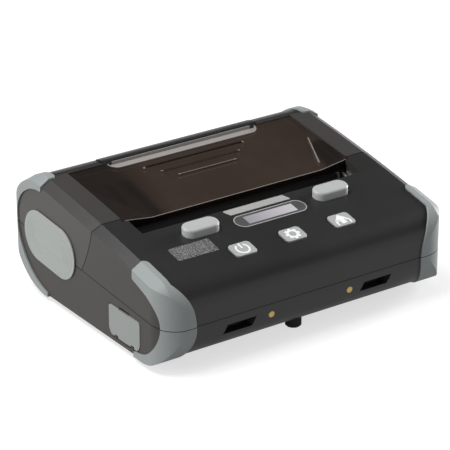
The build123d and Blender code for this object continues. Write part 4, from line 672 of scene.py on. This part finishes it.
@dataclass(frozen=True)
class Smoke(Finish):
    """Smoke-tinted see-through plastic with moulded lines and a finger scoop, carrying painted
    shade and painted highlights.

    Attributes:
        clear: How much of what lies behind shows through.
        haze: Colour of the haze that wanders through the tint.
        scoop: Half length, Y and half width of the finger scoop.
        scoop_soft: Soft edge of the scoop.
        scoop_lit_colour: Colour of the painted highlight across the scoop.
        painted_shadows: Painted shade of the parts behind the plastic, darkest at the left: ends,
            half width, soft edge and strength.
        painted_shadow_colour: Colour of that painted shade.
        lines: Y, half length and colour of each moulded line; the dark colours are painted shade
            and the light one is a painted highlight.
        line_half: Half width of a line.
        glint_half: Radius of the painted highlight dot at each end of a line.
        painted_glints: Ends and half width of each painted highlight along an edge.
        glint_colour: Colour of the painted highlights on the edges and at the ends of the lines.
        lip: Half length, Y and half width of the painted shade down the front of the lip.
        lip_shade_colour: Colour of that painted shade.
    """

    patches: float = 14.0
    cells: float = 900.0
    depth: float = 0.0006 * MM
    clear: float = 0.3
    haze: tuple = (0.068, 0.044, 0.033)
    scoop: tuple = (36.8 * MM, 37.4 * MM, 5.0 * MM)
    scoop_soft: float = 0.5 * MM
    scoop_lit_colour: tuple = (0.31, 0.296, 0.285)
    painted_shadows: tuple = (
        ((-58.0 * MM, -14.0 * MM, -50.0 * MM, 44.0 * MM), 24.0 * MM, 16.0 * MM, 0.65),
        ((-43.0 * MM, -6.0 * MM, -42.0 * MM, 20.0 * MM), 4.5 * MM, 3.5 * MM, 0.6),
        ((-52.0 * MM, 6.0 * MM, -51.0 * MM, 20.0 * MM), 2.5 * MM, 2.5 * MM, 0.5),
        ((56.0 * MM, -8.0 * MM, 59.0 * MM, 8.0 * MM), 7.0 * MM, 3.0 * MM, 0.75),
    )
    painted_shadow_colour: tuple = (0.009, 0.0075, 0.0065)
    # Painted shade on the first two ribs, painted highlight on the third.
    lines: tuple = (
        (27.6 * MM, 27.6 * MM, (0.004, 0.0035, 0.003)),
        (22.0 * MM, 21.5 * MM, (0.012, 0.01, 0.009)),
        (16.4 * MM, 15.6 * MM, (0.22, 0.2, 0.18)),
    )
    line_half: float = 0.5 * MM
    glint_half: float = 0.7 * MM
    painted_glints: tuple = (
        ((58.6 * MM, 17.6 * MM, 50.2 * MM, -2.4 * MM), 0.45 * MM),
        ((-61.0 * MM, -8.3 * MM, 61.0 * MM, -8.3 * MM), 0.3 * MM),
    )
    glint_colour: tuple = (0.3, 0.28, 0.26)
    lip: tuple = (70.0 * MM, -8.9 * MM, 0.35 * MM)
    lip_shade_colour: tuple = (0.003, 0.003, 0.003)

    def paint(self, graph: Graph, shader: Node, touch: Socket) -> tuple:
        """Paint the painted shade, the scoop's painted highlight, the lines with their painted
        shade and highlights, the painted highlights on the edges and the lip's painted shade, and
        make the rest clear.

        Args:
            graph: Graph of the material.
            shader: Its shader.
            touch: Mask of the patches that hands have polished.

        Returns:
            The colour and the height.
        """
        base = graph.blend(touch, self.colour, self.haze)
        # Painted shade: soft dark shapes where the roll guides and end walls behind the window
        # shade it.
        for ends, half, soft, strength in self.painted_shadows:
            shape = graph.math("MULTIPLY", Effects.stripe(graph, ends, half, soft), strength)
            base = graph.blend(shape, base, self.painted_shadow_colour)
        # Painted highlight: the scoop is painted light and made opaque.
        scoop_highlight = Effects.level_stripe(graph, self.scoop, self.scoop_soft)
        base = graph.blend(scoop_highlight, base, self.scoop_lit_colour)
        for row, reach, colour in self.lines:
            line = Effects.level_stripe(graph, (reach, row, self.line_half))
            base = graph.blend(line, base, colour)
            # Painted highlight: a bright dot at each end of a line.
            for end in (-reach, reach):
                rib_glint = Effects.stripe(graph, (end, row, end, row), self.glint_half)
                base = graph.blend(rib_glint, base, self.glint_colour)
        # Painted highlights along the facet's crease and along the lip's edge.
        for ends, half in self.painted_glints:
            base = graph.blend(Effects.stripe(graph, ends, half), base, self.glint_colour)
        # Painted shade: the front of the lip is painted black and opaque.
        lip_shade = Effects.level_stripe(graph, self.lip)
        opaque = graph.math("MAXIMUM", scoop_highlight, lip_shade)
        graph.join(graph.remap(opaque, target=(1.0 - self.clear, 1.0)), shader.inputs["Alpha"])
        return graph.blend(lip_shade, base, self.lip_shade_colour), self.grain(graph)["Height"]


@dataclass(frozen=True)
class Film(Finish):
    """Printed film with metal flakes.

    Attributes:
        flake: Colour of the flakes.
        cover: Share of the surface that the flakes cover.
        flakes: Scale of the flakes.
    """

    patches: float = 50.0
    cells: float = 2200.0
    depth: float = 0.004 * MM
    flake: tuple = (0.5, 0.5, 0.5)
    cover: float = 0.5
    flakes: float = 2600.0

    def paint(self, graph: Graph, shader: Node, touch: Socket) -> tuple:
        """Scatter the flakes.

        Args:
            graph: Graph of the material.
            shader: Its shader.
            touch: Mask of the patches that hands have polished.

        Returns:
            The colour and the height.
        """
        specks = Effects.place(graph, "speckle", Flakes=self.flakes, Cover=self.cover)
        base = graph.blend(specks["Mask"], self.colour, self.flake)
        return base, self.grain(graph)["Height"]


@dataclass(frozen=True)
class Display(Finish):
    """Unlit grey liquid crystal inside a darker border.

    Attributes:
        centre: Centre of the picture area, X and Y.
        half: Half length and half height of the picture area.
        shaded_end_colour: Colour at the left end of the picture area, painted darker as painted
            shade.
        lit_end_colour: Colour at its right end, painted lighter as painted light.
        mottle: Strength and colour of the mottle in the picture area.
        border_gain: How much lighter the border's grain is than the border.
    """

    patches: float = 40.0
    cells: float = 5200.0
    depth: float = 0.002 * MM
    centre: tuple = (0.7 * MM, -32.0 * MM)
    half: tuple = (13.4 * MM, 2.9 * MM)
    shaded_end_colour: tuple = (0.29, 0.278, 0.31)
    lit_end_colour: tuple = (0.56, 0.545, 0.57)
    mottle: tuple = (0.12, (0.3, 0.3, 0.36))
    border_gain: float = 1.4

    def paint(self, graph: Graph, shader: Node, touch: Socket) -> tuple:
        """Paint the picture area and its border.

        Args:
            graph: Graph of the material.
            shader: Its shader.
            touch: Mask of the patches that hands have polished.

        Returns:
            The colour and the height.
        """
        (middle_x, middle_y), (half_x, half_y) = self.centre, self.half
        place = graph.parts(graph.position())
        # Painted light: the picture area brightens from left to right.
        along = graph.remap(place["X"], (middle_x - half_x, middle_x + half_x))
        picture = graph.blend(along, self.shaded_end_colour, self.lit_end_colour)
        grain = self.grain(graph)
        share, colour = self.mottle
        picture = graph.blend(graph.math("MULTIPLY", grain["Shade"], share), picture, colour)
        shape = {"X": middle_x, "Y": middle_y, "Half_X": half_x, "Half_Y": half_y}
        window = Effects.place(graph, "rectangle", **shape)
        border = graph.blend(grain["Shade"], self.colour, self.toned(self.border_gain))
        return graph.blend(window["Mask"], border, picture), grain["Height"]


@dataclass(frozen=True)
class Board(Finish):
    """Circuit board with tracks under its solder mask.

    Attributes:
        track: Colour over the copper tracks.
        scale: Scale of the tracks.
        gap: Width of the gaps between the tracks.
    """

    patches: float = 60.0
    track: tuple = (0.07, 0.3, 0.14)
    scale: float = 420.0
    gap: float = 0.04

    def paint(self, graph: Graph, shader: Node, touch: Socket) -> tuple:
        """Draw the tracks.

        Args:
            graph: Graph of the material.
            shader: Its shader.
            touch: Mask of the patches that hands have polished.

        Returns:
            The colour and the height.
        """
        tracks = graph.node("TexBrick")
        tracks.inputs["Scale"].default_value = self.scale
        tracks.inputs["Mortar Size"].default_value = self.gap
        graph.join(graph.position(), tracks.inputs["Vector"])
        drawn = tracks.outputs["Fac"]
        return graph.blend(drawn, self.colour, self.track), drawn


FINISHES = (
    # The shells' lighter sides and tops are painted light, and the cover's scoop_highlight is a
    # painted highlight.
    Shell(
        "case_plastic", (0.012, 0.0118, 0.0115), 0.38, cells=2600.0, depth=0.01 * MM,
        seam=0.28 * MM, lit_side_colour=(0.034, 0.0305, 0.026), lit_top_colour=(0.017, 0.0168, 0.0168),
    ),
    Shell(
        "cover_plastic", (0.024, 0.021, 0.0185), 0.34, cells=2600.0, depth=0.008 * MM,
        seam=0.28 * MM, lit_side_colour=(0.052, 0.0465, 0.039), lit_top_colour=(0.05, 0.046, 0.045),
        band=(90.0 * MM, 58.0 * MM, 20.5 * MM), scoop_highlight=(38.0 * MM, 37.0 * MM, 1.1 * MM),
    ),
    Moulding("carrier_plastic", (0.03, 0.03, 0.03), 0.55, cells=1800.0),
    Moulding("guide_plastic", (0.12, 0.12, 0.125), 0.5, cells=1800.0),
    Moulding("button_plastic", (0.46, 0.47, 0.465), 0.42, 0.04, cells=3000.0, depth=0.006 * MM),
    Moulding("bush_plastic", (0.66, 0.65, 0.6), 0.4, cells=2200.0, depth=0.006 * MM),
    Moulding("gear_plastic", (0.7, 0.69, 0.64), 0.42, cells=2200.0, depth=0.006 * MM),
    Moulding("sensor_plastic", (0.02, 0.02, 0.02), 0.35, cells=2600.0),
    Moulding("socket_plastic", (0.02, 0.02, 0.02), 0.45, cells=2600.0),
    Moulding("battery_shell", (0.04, 0.04, 0.044), 0.4, cells=1200.0),
    Moulding(
        "bumper_rubber", (0.275, 0.296, 0.295), level=0.4, cells=3200.0, depth=0.01 * MM,
        shade=0.93, seam=0.2 * MM,
    ),
    Moulding("pad_rubber", (0.35, 0.37, 0.353), 0.6, 0.04, 0.4, cells=3200.0, shade=0.93),
    Moulding("key_rubber", (0.38, 0.395, 0.385), 0.6, 0.04, 0.4, cells=3600.0, depth=0.008 * MM),
    Moulding("flap_rubber", (0.28, 0.297, 0.287), 0.6, level=0.4, cells=2800.0, shade=0.9),
    Moulding("foot_rubber", (0.035, 0.035, 0.035), 0.75, level=0.3, cells=1800.0),
    Moulding("platen_rubber", (0.035, 0.035, 0.036), 0.7, 0.06, 0.3, cells=3200.0),
    Moulding("strip_plastic", (0.007, 0.0065, 0.006), 0.3, 0.04, cells=2600.0, depth=0.004 * MM),
    Moulding("ceramic", (0.05, 0.042, 0.036), 0.3, 0.04, cells=3000.0, depth=0.003 * MM),
    Metal("blade_steel", (0.09, 0.09, 0.092), 0.4),
    Metal("frame_steel", (0.06, 0.06, 0.062), 0.45, lines=1800.0),
    Metal("latch_steel", (0.5, 0.5, 0.52), 0.34),
    Metal("motor_steel", (0.45, 0.45, 0.46), 0.36),
    Metal("rod_steel", (0.6, 0.6, 0.61), 0.22),
    Metal("screw_steel", (0.25, 0.25, 0.26), 0.35),
    Metal("spring_steel", (0.55, 0.55, 0.55), 0.3),
    Metal("socket_steel", (0.62, 0.62, 0.64), 0.25),
    Metal("sink_aluminium", (0.07, 0.07, 0.072), 0.45, lines=1400.0),
    Metal("gold_contact", (0.8, 0.55, 0.19), 0.32, lines=3000.0, metal=0.35),
    Film(
        "silver_plate", (0.48, 0.48, 0.475), 0.36, flake=(0.58, 0.58, 0.575), metal=0.35,
        flakes=5200.0,
    ),
    Film(
        "label_film", (0.055, 0.055, 0.056), 0.45, flake=(0.26, 0.26, 0.262), cover=0.42, metal=0.1,
        flakes=3600.0,
    ),
    Display("lens", (0.07, 0.069, 0.07), 0.14, 0.03),
    Display("display", (0.02, 0.02, 0.022), 0.4, 0.04),
    Board("circuit_board", (0.04, 0.18, 0.08), 0.4),
    Smoke("smoke_window", (0.028, 0.021, 0.017), 0.14, 0.03),
    Moulding(
        "mark_ink", (0.86, 0.87, 0.87), 0.5, 0.04, 0.4, cells=3600.0, depth=0.004 * MM, dust=0.0
    ),
    Metal("rim_ink", (0.55, 0.55, 0.56), 0.35, lines=3200.0, metal=0.2),
)


class Bench:
    """Ways of modelling that every sub-assembly uses."""

    # Distance under which two corners count as one
    CLOSE = 1e-7

    # Angle up to which edges are shaded smooth
    SMOOTH = math.radians(30.0)

    # How far above a part a flat piece starts before it is laid, and how deep it is set in
    DROP = 2.0 * MM
    SINK = 0.03 * MM

    @staticmethod
    def clear() -> None:
        """Deselect everything."""
        if bpy.context.object and bpy.context.object.mode != "OBJECT":
            bpy.ops.object.mode_set(mode="OBJECT")
        bpy.ops.object.select_all(action="DESELECT")

    @staticmethod
    def pick(piece: Piece) -> None:
        """Select one piece and make it active.

        Args:
            piece: The piece.
        """
        Bench.clear()
        piece.select_set(True)
        bpy.context.view_layer.objects.active = piece

    @staticmethod
    def open(piece: Piece) -> None:
        """Open a piece for editing with everything selected.

        Args:
            piece: The piece.
        """
        Bench.pick(piece)
        bpy.ops.object.mode_set(mode="EDIT")
        bpy.ops.mesh.select_all(action="SELECT")

    @staticmethod
    def close() -> None:
        """Leave editing."""
        bpy.ops.object.mode_set(mode="OBJECT")

    @staticmethod
    def choose(piece: Piece, kind: str, wanted: Callable) -> None:
        """Open a piece for editing with some of its corners or faces selected.

        Args:
            piece: The piece.
            kind: VERT for corners or FACE for faces.
            wanted: Function of a corner or a face that is true where it is selected.
        """
        Bench.pick(piece)
        bpy.ops.object.mode_set(mode="EDIT")
        bpy.ops.mesh.select_mode(type=kind)
        bpy.ops.mesh.select_all(action="DESELECT")
        Bench.close()
        for part in piece.data.vertices if kind == "VERT" else piece.data.polygons:
            part.select = wanted(part)
        bpy.ops.object.mode_set(mode="EDIT")

    @staticmethod
    def thicken(height: float) -> None:
        """Give what is selected in editing a thickness upward, and leave editing.

        Args:
            height: The thickness.
        """
        move = {"value": (0.0, 0.0, height)}
        bpy.ops.mesh.extrude_region_move(TRANSFORM_OT_translate=move)
        Bench.close()

    @staticmethod
    def settle(piece: Piece, finish: str) -> None:
        """Apply a piece's place, merge its doubles, turn its faces outward and dress it.

        Args:
            piece: The piece.
            finish: Name of its finish.
        """
        Bench.pick(piece)
        bpy.ops.object.transform_apply(location=True, rotation=True, scale=True)
        Bench.open(piece)
        bpy.ops.mesh.remove_doubles(threshold=Bench.CLOSE)
        bpy.ops.mesh.normals_make_consistent(inside=False)
        Bench.close()
        bpy.ops.object.shade_smooth_by_angle(angle=Bench.SMOOTH)
        piece.data.materials.clear()
        piece.data.materials.append(Dresser.finish(finish))

    @staticmethod
    def join(name: str, pieces: list) -> Piece:
        """Join pieces into one.

        Args:
            name: Name of the joined piece.
            pieces: The pieces.

        Returns:
            The joined piece.
        """
        Bench.clear()
        for piece in pieces:
            piece.select_set(True)
        bpy.context.view_layer.objects.active = pieces[0]
        bpy.ops.object.join()
        pieces[0].name = name
        pieces[0].data.name = name
        return pieces[0]

    @staticmethod
    def ring(name: str, outer: float, inner: float, points: int = 64) -> Piece:
        """Make a flat ring round the origin.

        Args:
            name: Name of the piece.
            outer: Outer radius.
            inner: Inner radius.
            points: Corners of each circle.

        Returns:
            The ring.
        """
        Bench.clear()
        bpy.ops.mesh.primitive_circle_add(vertices=points, radius=outer, fill_type="NOTHING")
        piece = bpy.context.object
        piece.name = name
        share = inner / outer
        Bench.open(piece)
        bpy.ops.mesh.extrude_edges_move()
        bpy.ops.transform.resize(value=(share, share, 1.0), center_override=(0.0, 0.0, 0.0))
        Bench.close()
        return piece

    @staticmethod
    def band(name: str, length: float, width: float, line: float) -> Piece:
        """Make a flat line along the inside of a round-ended outline round the origin.

        Args:
            name: Name of the piece.
            length: Length of the outline along X.
            width: Width of the outline.
            line: Width of the line.

        Returns:
            The line.
        """
        piece = Bench.ring(name, width / 2, width / 2 - line, points=96)
        reach = (length - width) / 2
        for side in (-1, 1):
            Bench.choose(piece, "VERT", lambda corner: corner.co.x * side > Bench.CLOSE)
            bpy.ops.transform.translate(value=(side * reach, 0.0, 0.0))
            Bench.close()
        return piece

    @staticmethod
    def panel(name: str, size: tuple, centre: tuple, cuts: int = 6) -> Piece:
        """Make a flat rectangle in plan, cut into a grid so that it can follow a curved face.

        Args:
            name: Name of the piece.
            size: Length along X and along Y.
            centre: Middle, X and Y.
            cuts: Cuts each way.

        Returns:
            The rectangle.
        """
        Bench.clear()
        bpy.ops.mesh.primitive_plane_add(size=1.0, location=(*centre, 0.0))
        piece = bpy.context.object
        piece.name = name
        piece.scale = (*size, 1.0)
        bpy.ops.object.transform_apply(location=True, rotation=True, scale=True)
        Bench.open(piece)
        bpy.ops.mesh.subdivide(number_cuts=cuts)
        Bench.close()
        return piece

    @staticmethod
    def lay(piece: Piece, node: str, thickness: float) -> None:
        """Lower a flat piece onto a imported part's top and give it a thickness.

        Args:
            piece: Flat piece, in plan where it goes.
            node: Part that it is laid on.
            thickness: Thickness that stands above the part.
        """
        Bench.pick(piece)
        bpy.ops.object.transform_apply(location=True, rotation=True, scale=True)
        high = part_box(node)[1].z + Bench.DROP
        bpy.ops.transform.translate(value=(0.0, 0.0, high))
        bpy.ops.object.transform_apply(location=True, rotation=True, scale=True)
        wrap = piece.modifiers.new("lay", "SHRINKWRAP")
        wrap.wrap_method = "PROJECT"
        wrap.use_project_z = True
        wrap.use_negative_direction = True
        wrap.use_positive_direction = False
        wrap.target = frame["nodes"][node]
        bpy.ops.object.modifier_apply(modifier=wrap.name)
        Bench.open(piece)
        bpy.ops.transform.translate(value=(0.0, 0.0, -Bench.SINK))
        Bench.thicken(thickness + Bench.SINK)


class Dresser:
    """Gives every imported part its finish."""

    finishes = {finish.name: finish for finish in FINISHES}
    made: dict = {}

    @classmethod
    def finish(cls, name: str) -> Material:
        """Give the material of a finish, and build it the first time.

        Args:
            name: Name of the finish.

        Returns:
            The material.
        """
        if name not in cls.made:
            cls.made[name] = cls.finishes[name].material()
        return cls.made[name]

    @classmethod
    def dress(cls) -> None:
        """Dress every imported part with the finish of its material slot."""
        slots = {part["node"]: part["material_slot"] for part in frame["record"]["subparts"]}
        for name, piece in frame["nodes"].items():
            finish = "cover_plastic" if name == "paper_cover" else slots[name]
            for slot in piece.material_slots:
                slot.material = cls.finish(finish)
            log.info("dressed %s in %s", name, finish)


@dataclass
class KeyMarks:
    """White marks printed on the three keys; their parts are shares of a mark's radius.

    Attributes:
        pitch: Distance between the keys' centres.
        row: Y of the keys' centres.
        size: Radius of a mark.
        line: Width of its lines.
        thickness: Height of the ink.
        gap: Half angle of the gap in the power mark's ring.
        bar: Height of the middle of its bar.
        teeth: Number of teeth on the gear wheel.
        facets: Number of its corners for each tooth.
        wheel: Root radius, inner radius and least radius of what becomes a tooth.
        tooth: Half width of a tooth, in pitches, and its growth.
        head: Width and height of the arrow's head.
        stem: Width, height and Y of its stem.
        leg: Height, X and Y of each upright of the slot.
        lip: Length, X and Y of each lip of the slot.
    """

    pitch: float = 27.1 * MM
    row: float = -49.8 * MM
    size: float = 3.5 * MM
    line: float = 0.85 * MM
    thickness: float = 0.06 * MM
    gap: float = math.radians(32)
    bar: float = 0.62
    teeth: int = 8
    facets: int = 8
    wheel: tuple = (0.82, 0.5, 0.7)
    tooth: tuple = (0.26, 1.28)
    head: tuple = (1.9, 1.05)
    stem: tuple = (0.75, 0.9, -0.4)
    leg: tuple = (0.9, 0.98, -0.55)
    lip: tuple = (0.5, 0.74, -0.2)

    def _finish(self, piece: Piece, column: int, node: str, body: Body) -> None:
        """Lay a mark on its key and let it ride.

        Args:
            piece: Mark round the origin.
            column: -1, 0 or 1 from left to right.
            node: Key that carries it.
            body: Body of the key.
        """
        piece.location = (column * self.pitch, self.row, 0.0)
        Bench.lay(piece, node, self.thickness)
        Bench.settle(piece, "mark_ink")
        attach(piece, body.value)
        log.info("laid %s", piece.name)

    def power(self) -> None:
        """Ring with a gap at the top and a bar in the gap."""
        ring = Bench.ring("power_mark", self.size, self.size - self.line)
        Bench.choose(ring, "FACE", lambda face: abs(math.atan2(*face.center.xy)) <= self.gap)
        bpy.ops.mesh.delete(type="FACE")
        Bench.close()
        bar = Bench.panel("power_bar", (self.line, self.size), (0.0, self.size * self.bar))
        self._finish(Bench.join("power_mark", [ring, bar]), -1, "power_key", Body.POWER_KEY)

    def settings(self) -> None:
        """Gear wheel with an open middle."""
        root, inner, least = (share * self.size for share in self.wheel)
        half, growth = self.tooth

        def toothed(corner: bpy.types.MeshVertex) -> bool:
            """Tell whether a corner belongs to the tip of a tooth."""
            turn = math.atan2(corner.co.y, corner.co.x) / math.tau * self.teeth
            return corner.co.xy.length > least and abs(turn - round(turn)) < half

        wheel = Bench.ring("settings_mark", root, inner, self.teeth * self.facets)
        Bench.choose(wheel, "VERT", toothed)
        bpy.ops.transform.resize(value=(growth, growth, 1.0), center_override=(0.0, 0.0, 0.0))
        Bench.close()
        self._finish(wheel, 0, "settings_key", Body.SETTINGS_KEY)

    def feed(self) -> None:
        """Arrow that rises out of a slot."""
        head_width, head_height = (share * self.size for share in self.head)
        stem_width, stem_height, stem_y = (share * self.size for share in self.stem)
        leg_height, leg_x, leg_y = (share * self.size for share in self.leg)
        lip_length, lip_x, lip_y = (share * self.size for share in self.lip)
        head = Bench.panel("feed_mark", (1.0, 1.0), (0.0, 0.0), 1)
        for corner in head.data.vertices:
            corner.co.x *= max(0.0, 0.5 - corner.co.y) * head_width
            corner.co.y = (corner.co.y + 0.5) * head_height
        parts = [head, Bench.panel("feed_stem", (stem_width, stem_height), (0.0, stem_y))]
        for side in (-1, 1):
            leg = ((self.line, leg_height), (side * leg_x, leg_y))
            lip = ((lip_length, self.line), (side * lip_x, lip_y))
            parts += [Bench.panel("feed_leg", *leg), Bench.panel("feed_lip", *lip)]
        self._finish(Bench.join("feed_mark", parts), 1, "feed_key", Body.FEED_KEY)

    def build(self) -> None:
        """Build the three marks."""
        self.power()
        self.settings()
        self.feed()


@dataclass
class LensRim:
    """Bright line round the display lens.

    Attributes:
        length: Length of the lens.
        width: Width of the lens.
        column: X of its middle.
        row: Y of its middle.
        inset: Distance of the line from the lens's edge.
        line: Width of the line.
        thickness: Height of the line.
    """

    length: float = 39.0 * MM
    width: float = 9.5 * MM
    column: float = 0.7 * MM
    row: float = -32.0 * MM
    inset: float = 0.25 * MM
    line: float = 0.4 * MM
    thickness: float = 0.04 * MM

    def build(self) -> None:
        """Lay a round-ended line on the lens."""
        outline = (self.length - 2 * self.inset, self.width - 2 * self.inset)
        rim = Bench.band("lens_rim", *outline, self.line)
        rim.location = (self.column, self.row, 0.0)
        Bench.lay(rim, "display_window", self.thickness)
        Bench.settle(rim, "rim_ink")
        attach(rim, Body.CASE.value)
        log.info("laid %s", rim.name)


@dataclass
class PadRidges:
    """Raised lines, one inside the other, on each side pad.

    Attributes:
        length: Length of the pad.
        height: Height of the pad.
        row: Y of the pad's middle.
        level: Z of the pad's middle.
        tilt: Tilt of the pad, in degrees.
        first: Distance of the outermost line from the pad's edge.
        pitch: Distance between the lines.
        count: Number of lines.
        line: Width of a line.
        rise: Height of a line above the pad.
    """

    length: float = 43.0 * MM
    height: float = 24.5 * MM
    row: float = 29.6 * MM
    level: float = 29.8 * MM
    tilt: float = 4.346
    first: float = 2.2 * MM
    pitch: float = 2.1 * MM
    count: int = 4
    line: float = 0.5 * MM
    rise: float = 0.06 * MM

    def _side(self, name: str, node: str, side: int) -> None:
        """Build the lines of one pad.

        Args:
            name: Name of the piece.
            node: The pad.
            side: -1 for the left pad and 1 for the right pad.
        """
        rings = []
        for index in range(self.count):
            inset = 2 * (self.first + index * self.pitch)
            outline = (self.length - inset, self.height - inset)
            rings.append(Bench.band(f"{name}_{index}", *outline, self.line))
        ridges = Bench.join(name, rings)
        Bench.open(ridges)
        Bench.thicken(2 * self.rise)
        low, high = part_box(node)
        face = low.x if side < 0 else high.x
        tilt = math.radians(self.tilt)
        along = Vector((0.0, math.cos(tilt), math.sin(tilt)))
        upward = Vector((0.0, -math.sin(tilt), math.cos(tilt)))
        out = Vector((float(side), 0.0, 0.0))
        centre = Vector((face - side * self.rise, self.row, self.level))
        ridges.matrix_world = placed(along, upward, out, centre)
        Bench.settle(ridges, "pad_rubber")
        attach(ridges, Body.CASE.value)
        log.info("laid %s", ridges.name)

    def build(self) -> None:
        """Build the lines of both pads."""
        self._side("pad_ridges_left", "side_pad_left", -1)
        self._side("pad_ridges_right", "side_pad_right", 1)


@dataclass(frozen=True)
class Lamp:
    """Soft rectangular lamp.

    Attributes:
        name: Name of the lamp.
        place: Position.
        aim: Point that it faces.
        size: Length and height.
        power: Power in watts.
    """

    name: str
    place: tuple
    aim: tuple
    size: tuple
    power: float

    def build(self) -> None:
        """Add the lamp to the scene."""
        data = bpy.data.lights.new(self.name, "AREA")
        data.shape = "RECTANGLE"
        data.size, data.size_y = self.size
        data.energy = self.power
        lamp = bpy.data.objects.new(self.name, data)
        lamp.location = self.place
        turn = (Vector(self.aim) - Vector(self.place)).to_track_quat("-Z", "Y")
        lamp.rotation_euler = turn.to_euler()
        bpy.context.scene.collection.objects.link(lamp)


LAMPS = (
    Lamp("overhead", (-0.55, 0.2, 1.3), (0.0, 0.0, 0.0), (0.8, 0.8), 16.0),
    Lamp("left", (-1.25, 0.3, 0.35), (0.0, 0.0, 0.02), (0.9, 0.6), 8.0),
    Lamp("right", (1.35, 0.0, 0.35), (0.0, 0.0, 0.02), (0.5, 0.5), 20.0),
)


@dataclass
class Studio:
    """Pale floor, soft light and a camera at the photograph's angle.

    Attributes:
        place: Camera position.
        heading: Turn of the view from +Y towards +X, in degrees.
        pitch: Angle of the view below level, in degrees.
        lens: Focal length in millimetres.
        sensor: Width of the sensor in millimetres.
        fill: Strength of the surroundings for diffuse light.
        floor_size: Length of the floor's sides.
        floor_grey: Brightness of the floor's own colour.
        floor_rough: Roughness of the floor.
        floor_glow: Strength of the floor's own white for the camera.
        floor_gloss: Share of that white in reflections.
        gloss_heights: Heights of the view between which reflections go dim.
        gloss_levels: Strength of the surroundings at eye level and overhead in reflections.
    """

    place: tuple = (-575.08 * MM, -820.17 * MM, 481.31 * MM)
    heading: float = 34.956
    pitch: float = 24.238
    lens: float = 190.98
    sensor: float = 36.0
    fill: float = 0.27
    floor_size: float = 6.0
    floor_grey: float = 0.42
    floor_rough: float = 0.9
    floor_glow: float = 0.66
    floor_gloss: float = 0.42
    gloss_heights: tuple = (0.03, 0.32)
    gloss_levels: tuple = (1.0, 0.08)

    def camera(self) -> None:
        """Set the camera."""
        turn = math.radians(self.heading)
        tilt = math.radians(self.pitch)
        right = Vector((math.cos(turn), -math.sin(turn), 0.0))
        level = Vector((math.sin(turn), math.cos(turn), 0.0))
        forward = level * math.cos(tilt) - Vector((0.0, 0.0, math.sin(tilt)))
        data = bpy.data.cameras.new("camera")
        data.lens = self.lens
        data.sensor_width = self.sensor
        camera = bpy.data.objects.new("camera", data)
        camera.matrix_world = placed(right, right.cross(forward), -forward, Vector(self.place))
        bpy.context.scene.collection.objects.link(camera)
        bpy.context.scene.camera = camera

    def floor(self) -> None:
        """Lay a wide pale floor that keeps the shadow."""
        Bench.clear()
        bpy.ops.mesh.primitive_plane_add(size=self.floor_size, location=(0.0, 0.0, 0.0))
        floor = bpy.context.object
        floor.name = "floor"
        material = bpy.data.materials.new("floor")
        material.use_nodes = True
        graph = Graph(material.node_tree)
        shader = material.node_tree.nodes["Principled BSDF"]
        shader.inputs["Base Color"].default_value = (*(self.floor_grey,) * 3, 1.0)
        shader.inputs["Roughness"].default_value = self.floor_rough
        shader.inputs["Specular IOR Level"].default_value = 0.0
        shader.inputs["Emission Color"].default_value = (1.0, 1.0, 1.0, 1.0)
        path = graph.node("LightPath").outputs
        mirrored = graph.math("MULTIPLY", path["Is Glossy Ray"], self.floor_gloss)
        seen = graph.math("MAXIMUM", path["Is Camera Ray"], mirrored)
        glow = graph.math("MULTIPLY", seen, self.floor_glow)
        graph.join(glow, shader.inputs["Emission Strength"])
        floor.data.materials.append(material)

    def world(self) -> None:
        """Set white surroundings at eye level, dimmer overhead and for diffuse light."""
        world = bpy.data.worlds.new("studio")
        world.use_nodes = True
        bpy.context.scene.world = world
        graph = Graph(world.node_tree)
        back = world.node_tree.nodes["Background"]
        back.inputs["Color"].default_value = (1.0, 1.0, 1.0, 1.0)
        view = graph.parts(graph.node("TexCoord").outputs["Generated"])
        around = graph.remap(view["Z"], self.gloss_heights, self.gloss_levels, smooth=True)
        path = graph.node("LightPath").outputs
        gloss = graph.math("MULTIPLY", path["Is Glossy Ray"], around)
        seen = graph.math("MAXIMUM", path["Is Camera Ray"], path["Is Transmission Ray"])
        seen = graph.math("MAXIMUM", seen, gloss)
        plain = graph.math("MULTIPLY", path["Is Diffuse Ray"], self.fill)
        graph.join(graph.math("MAXIMUM", seen, plain), back.inputs["Strength"])

    def build(self) -> None:
        """Build the studio."""
        bpy.context.scene.view_settings.view_transform = "Standard"
        self.camera()
        self.floor()
        self.world()
        for lamp in LAMPS:
            lamp.build()
        log.info("studio")


def main() -> None:
    """Build the finishes, the marks and the studio."""
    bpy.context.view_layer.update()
    Effects.build()
    Dresser.dress()
    KeyMarks().build()
    LensRim().build()
    PadRidges().build()
    Studio().build()


if __name__ == "__main__":
    main()
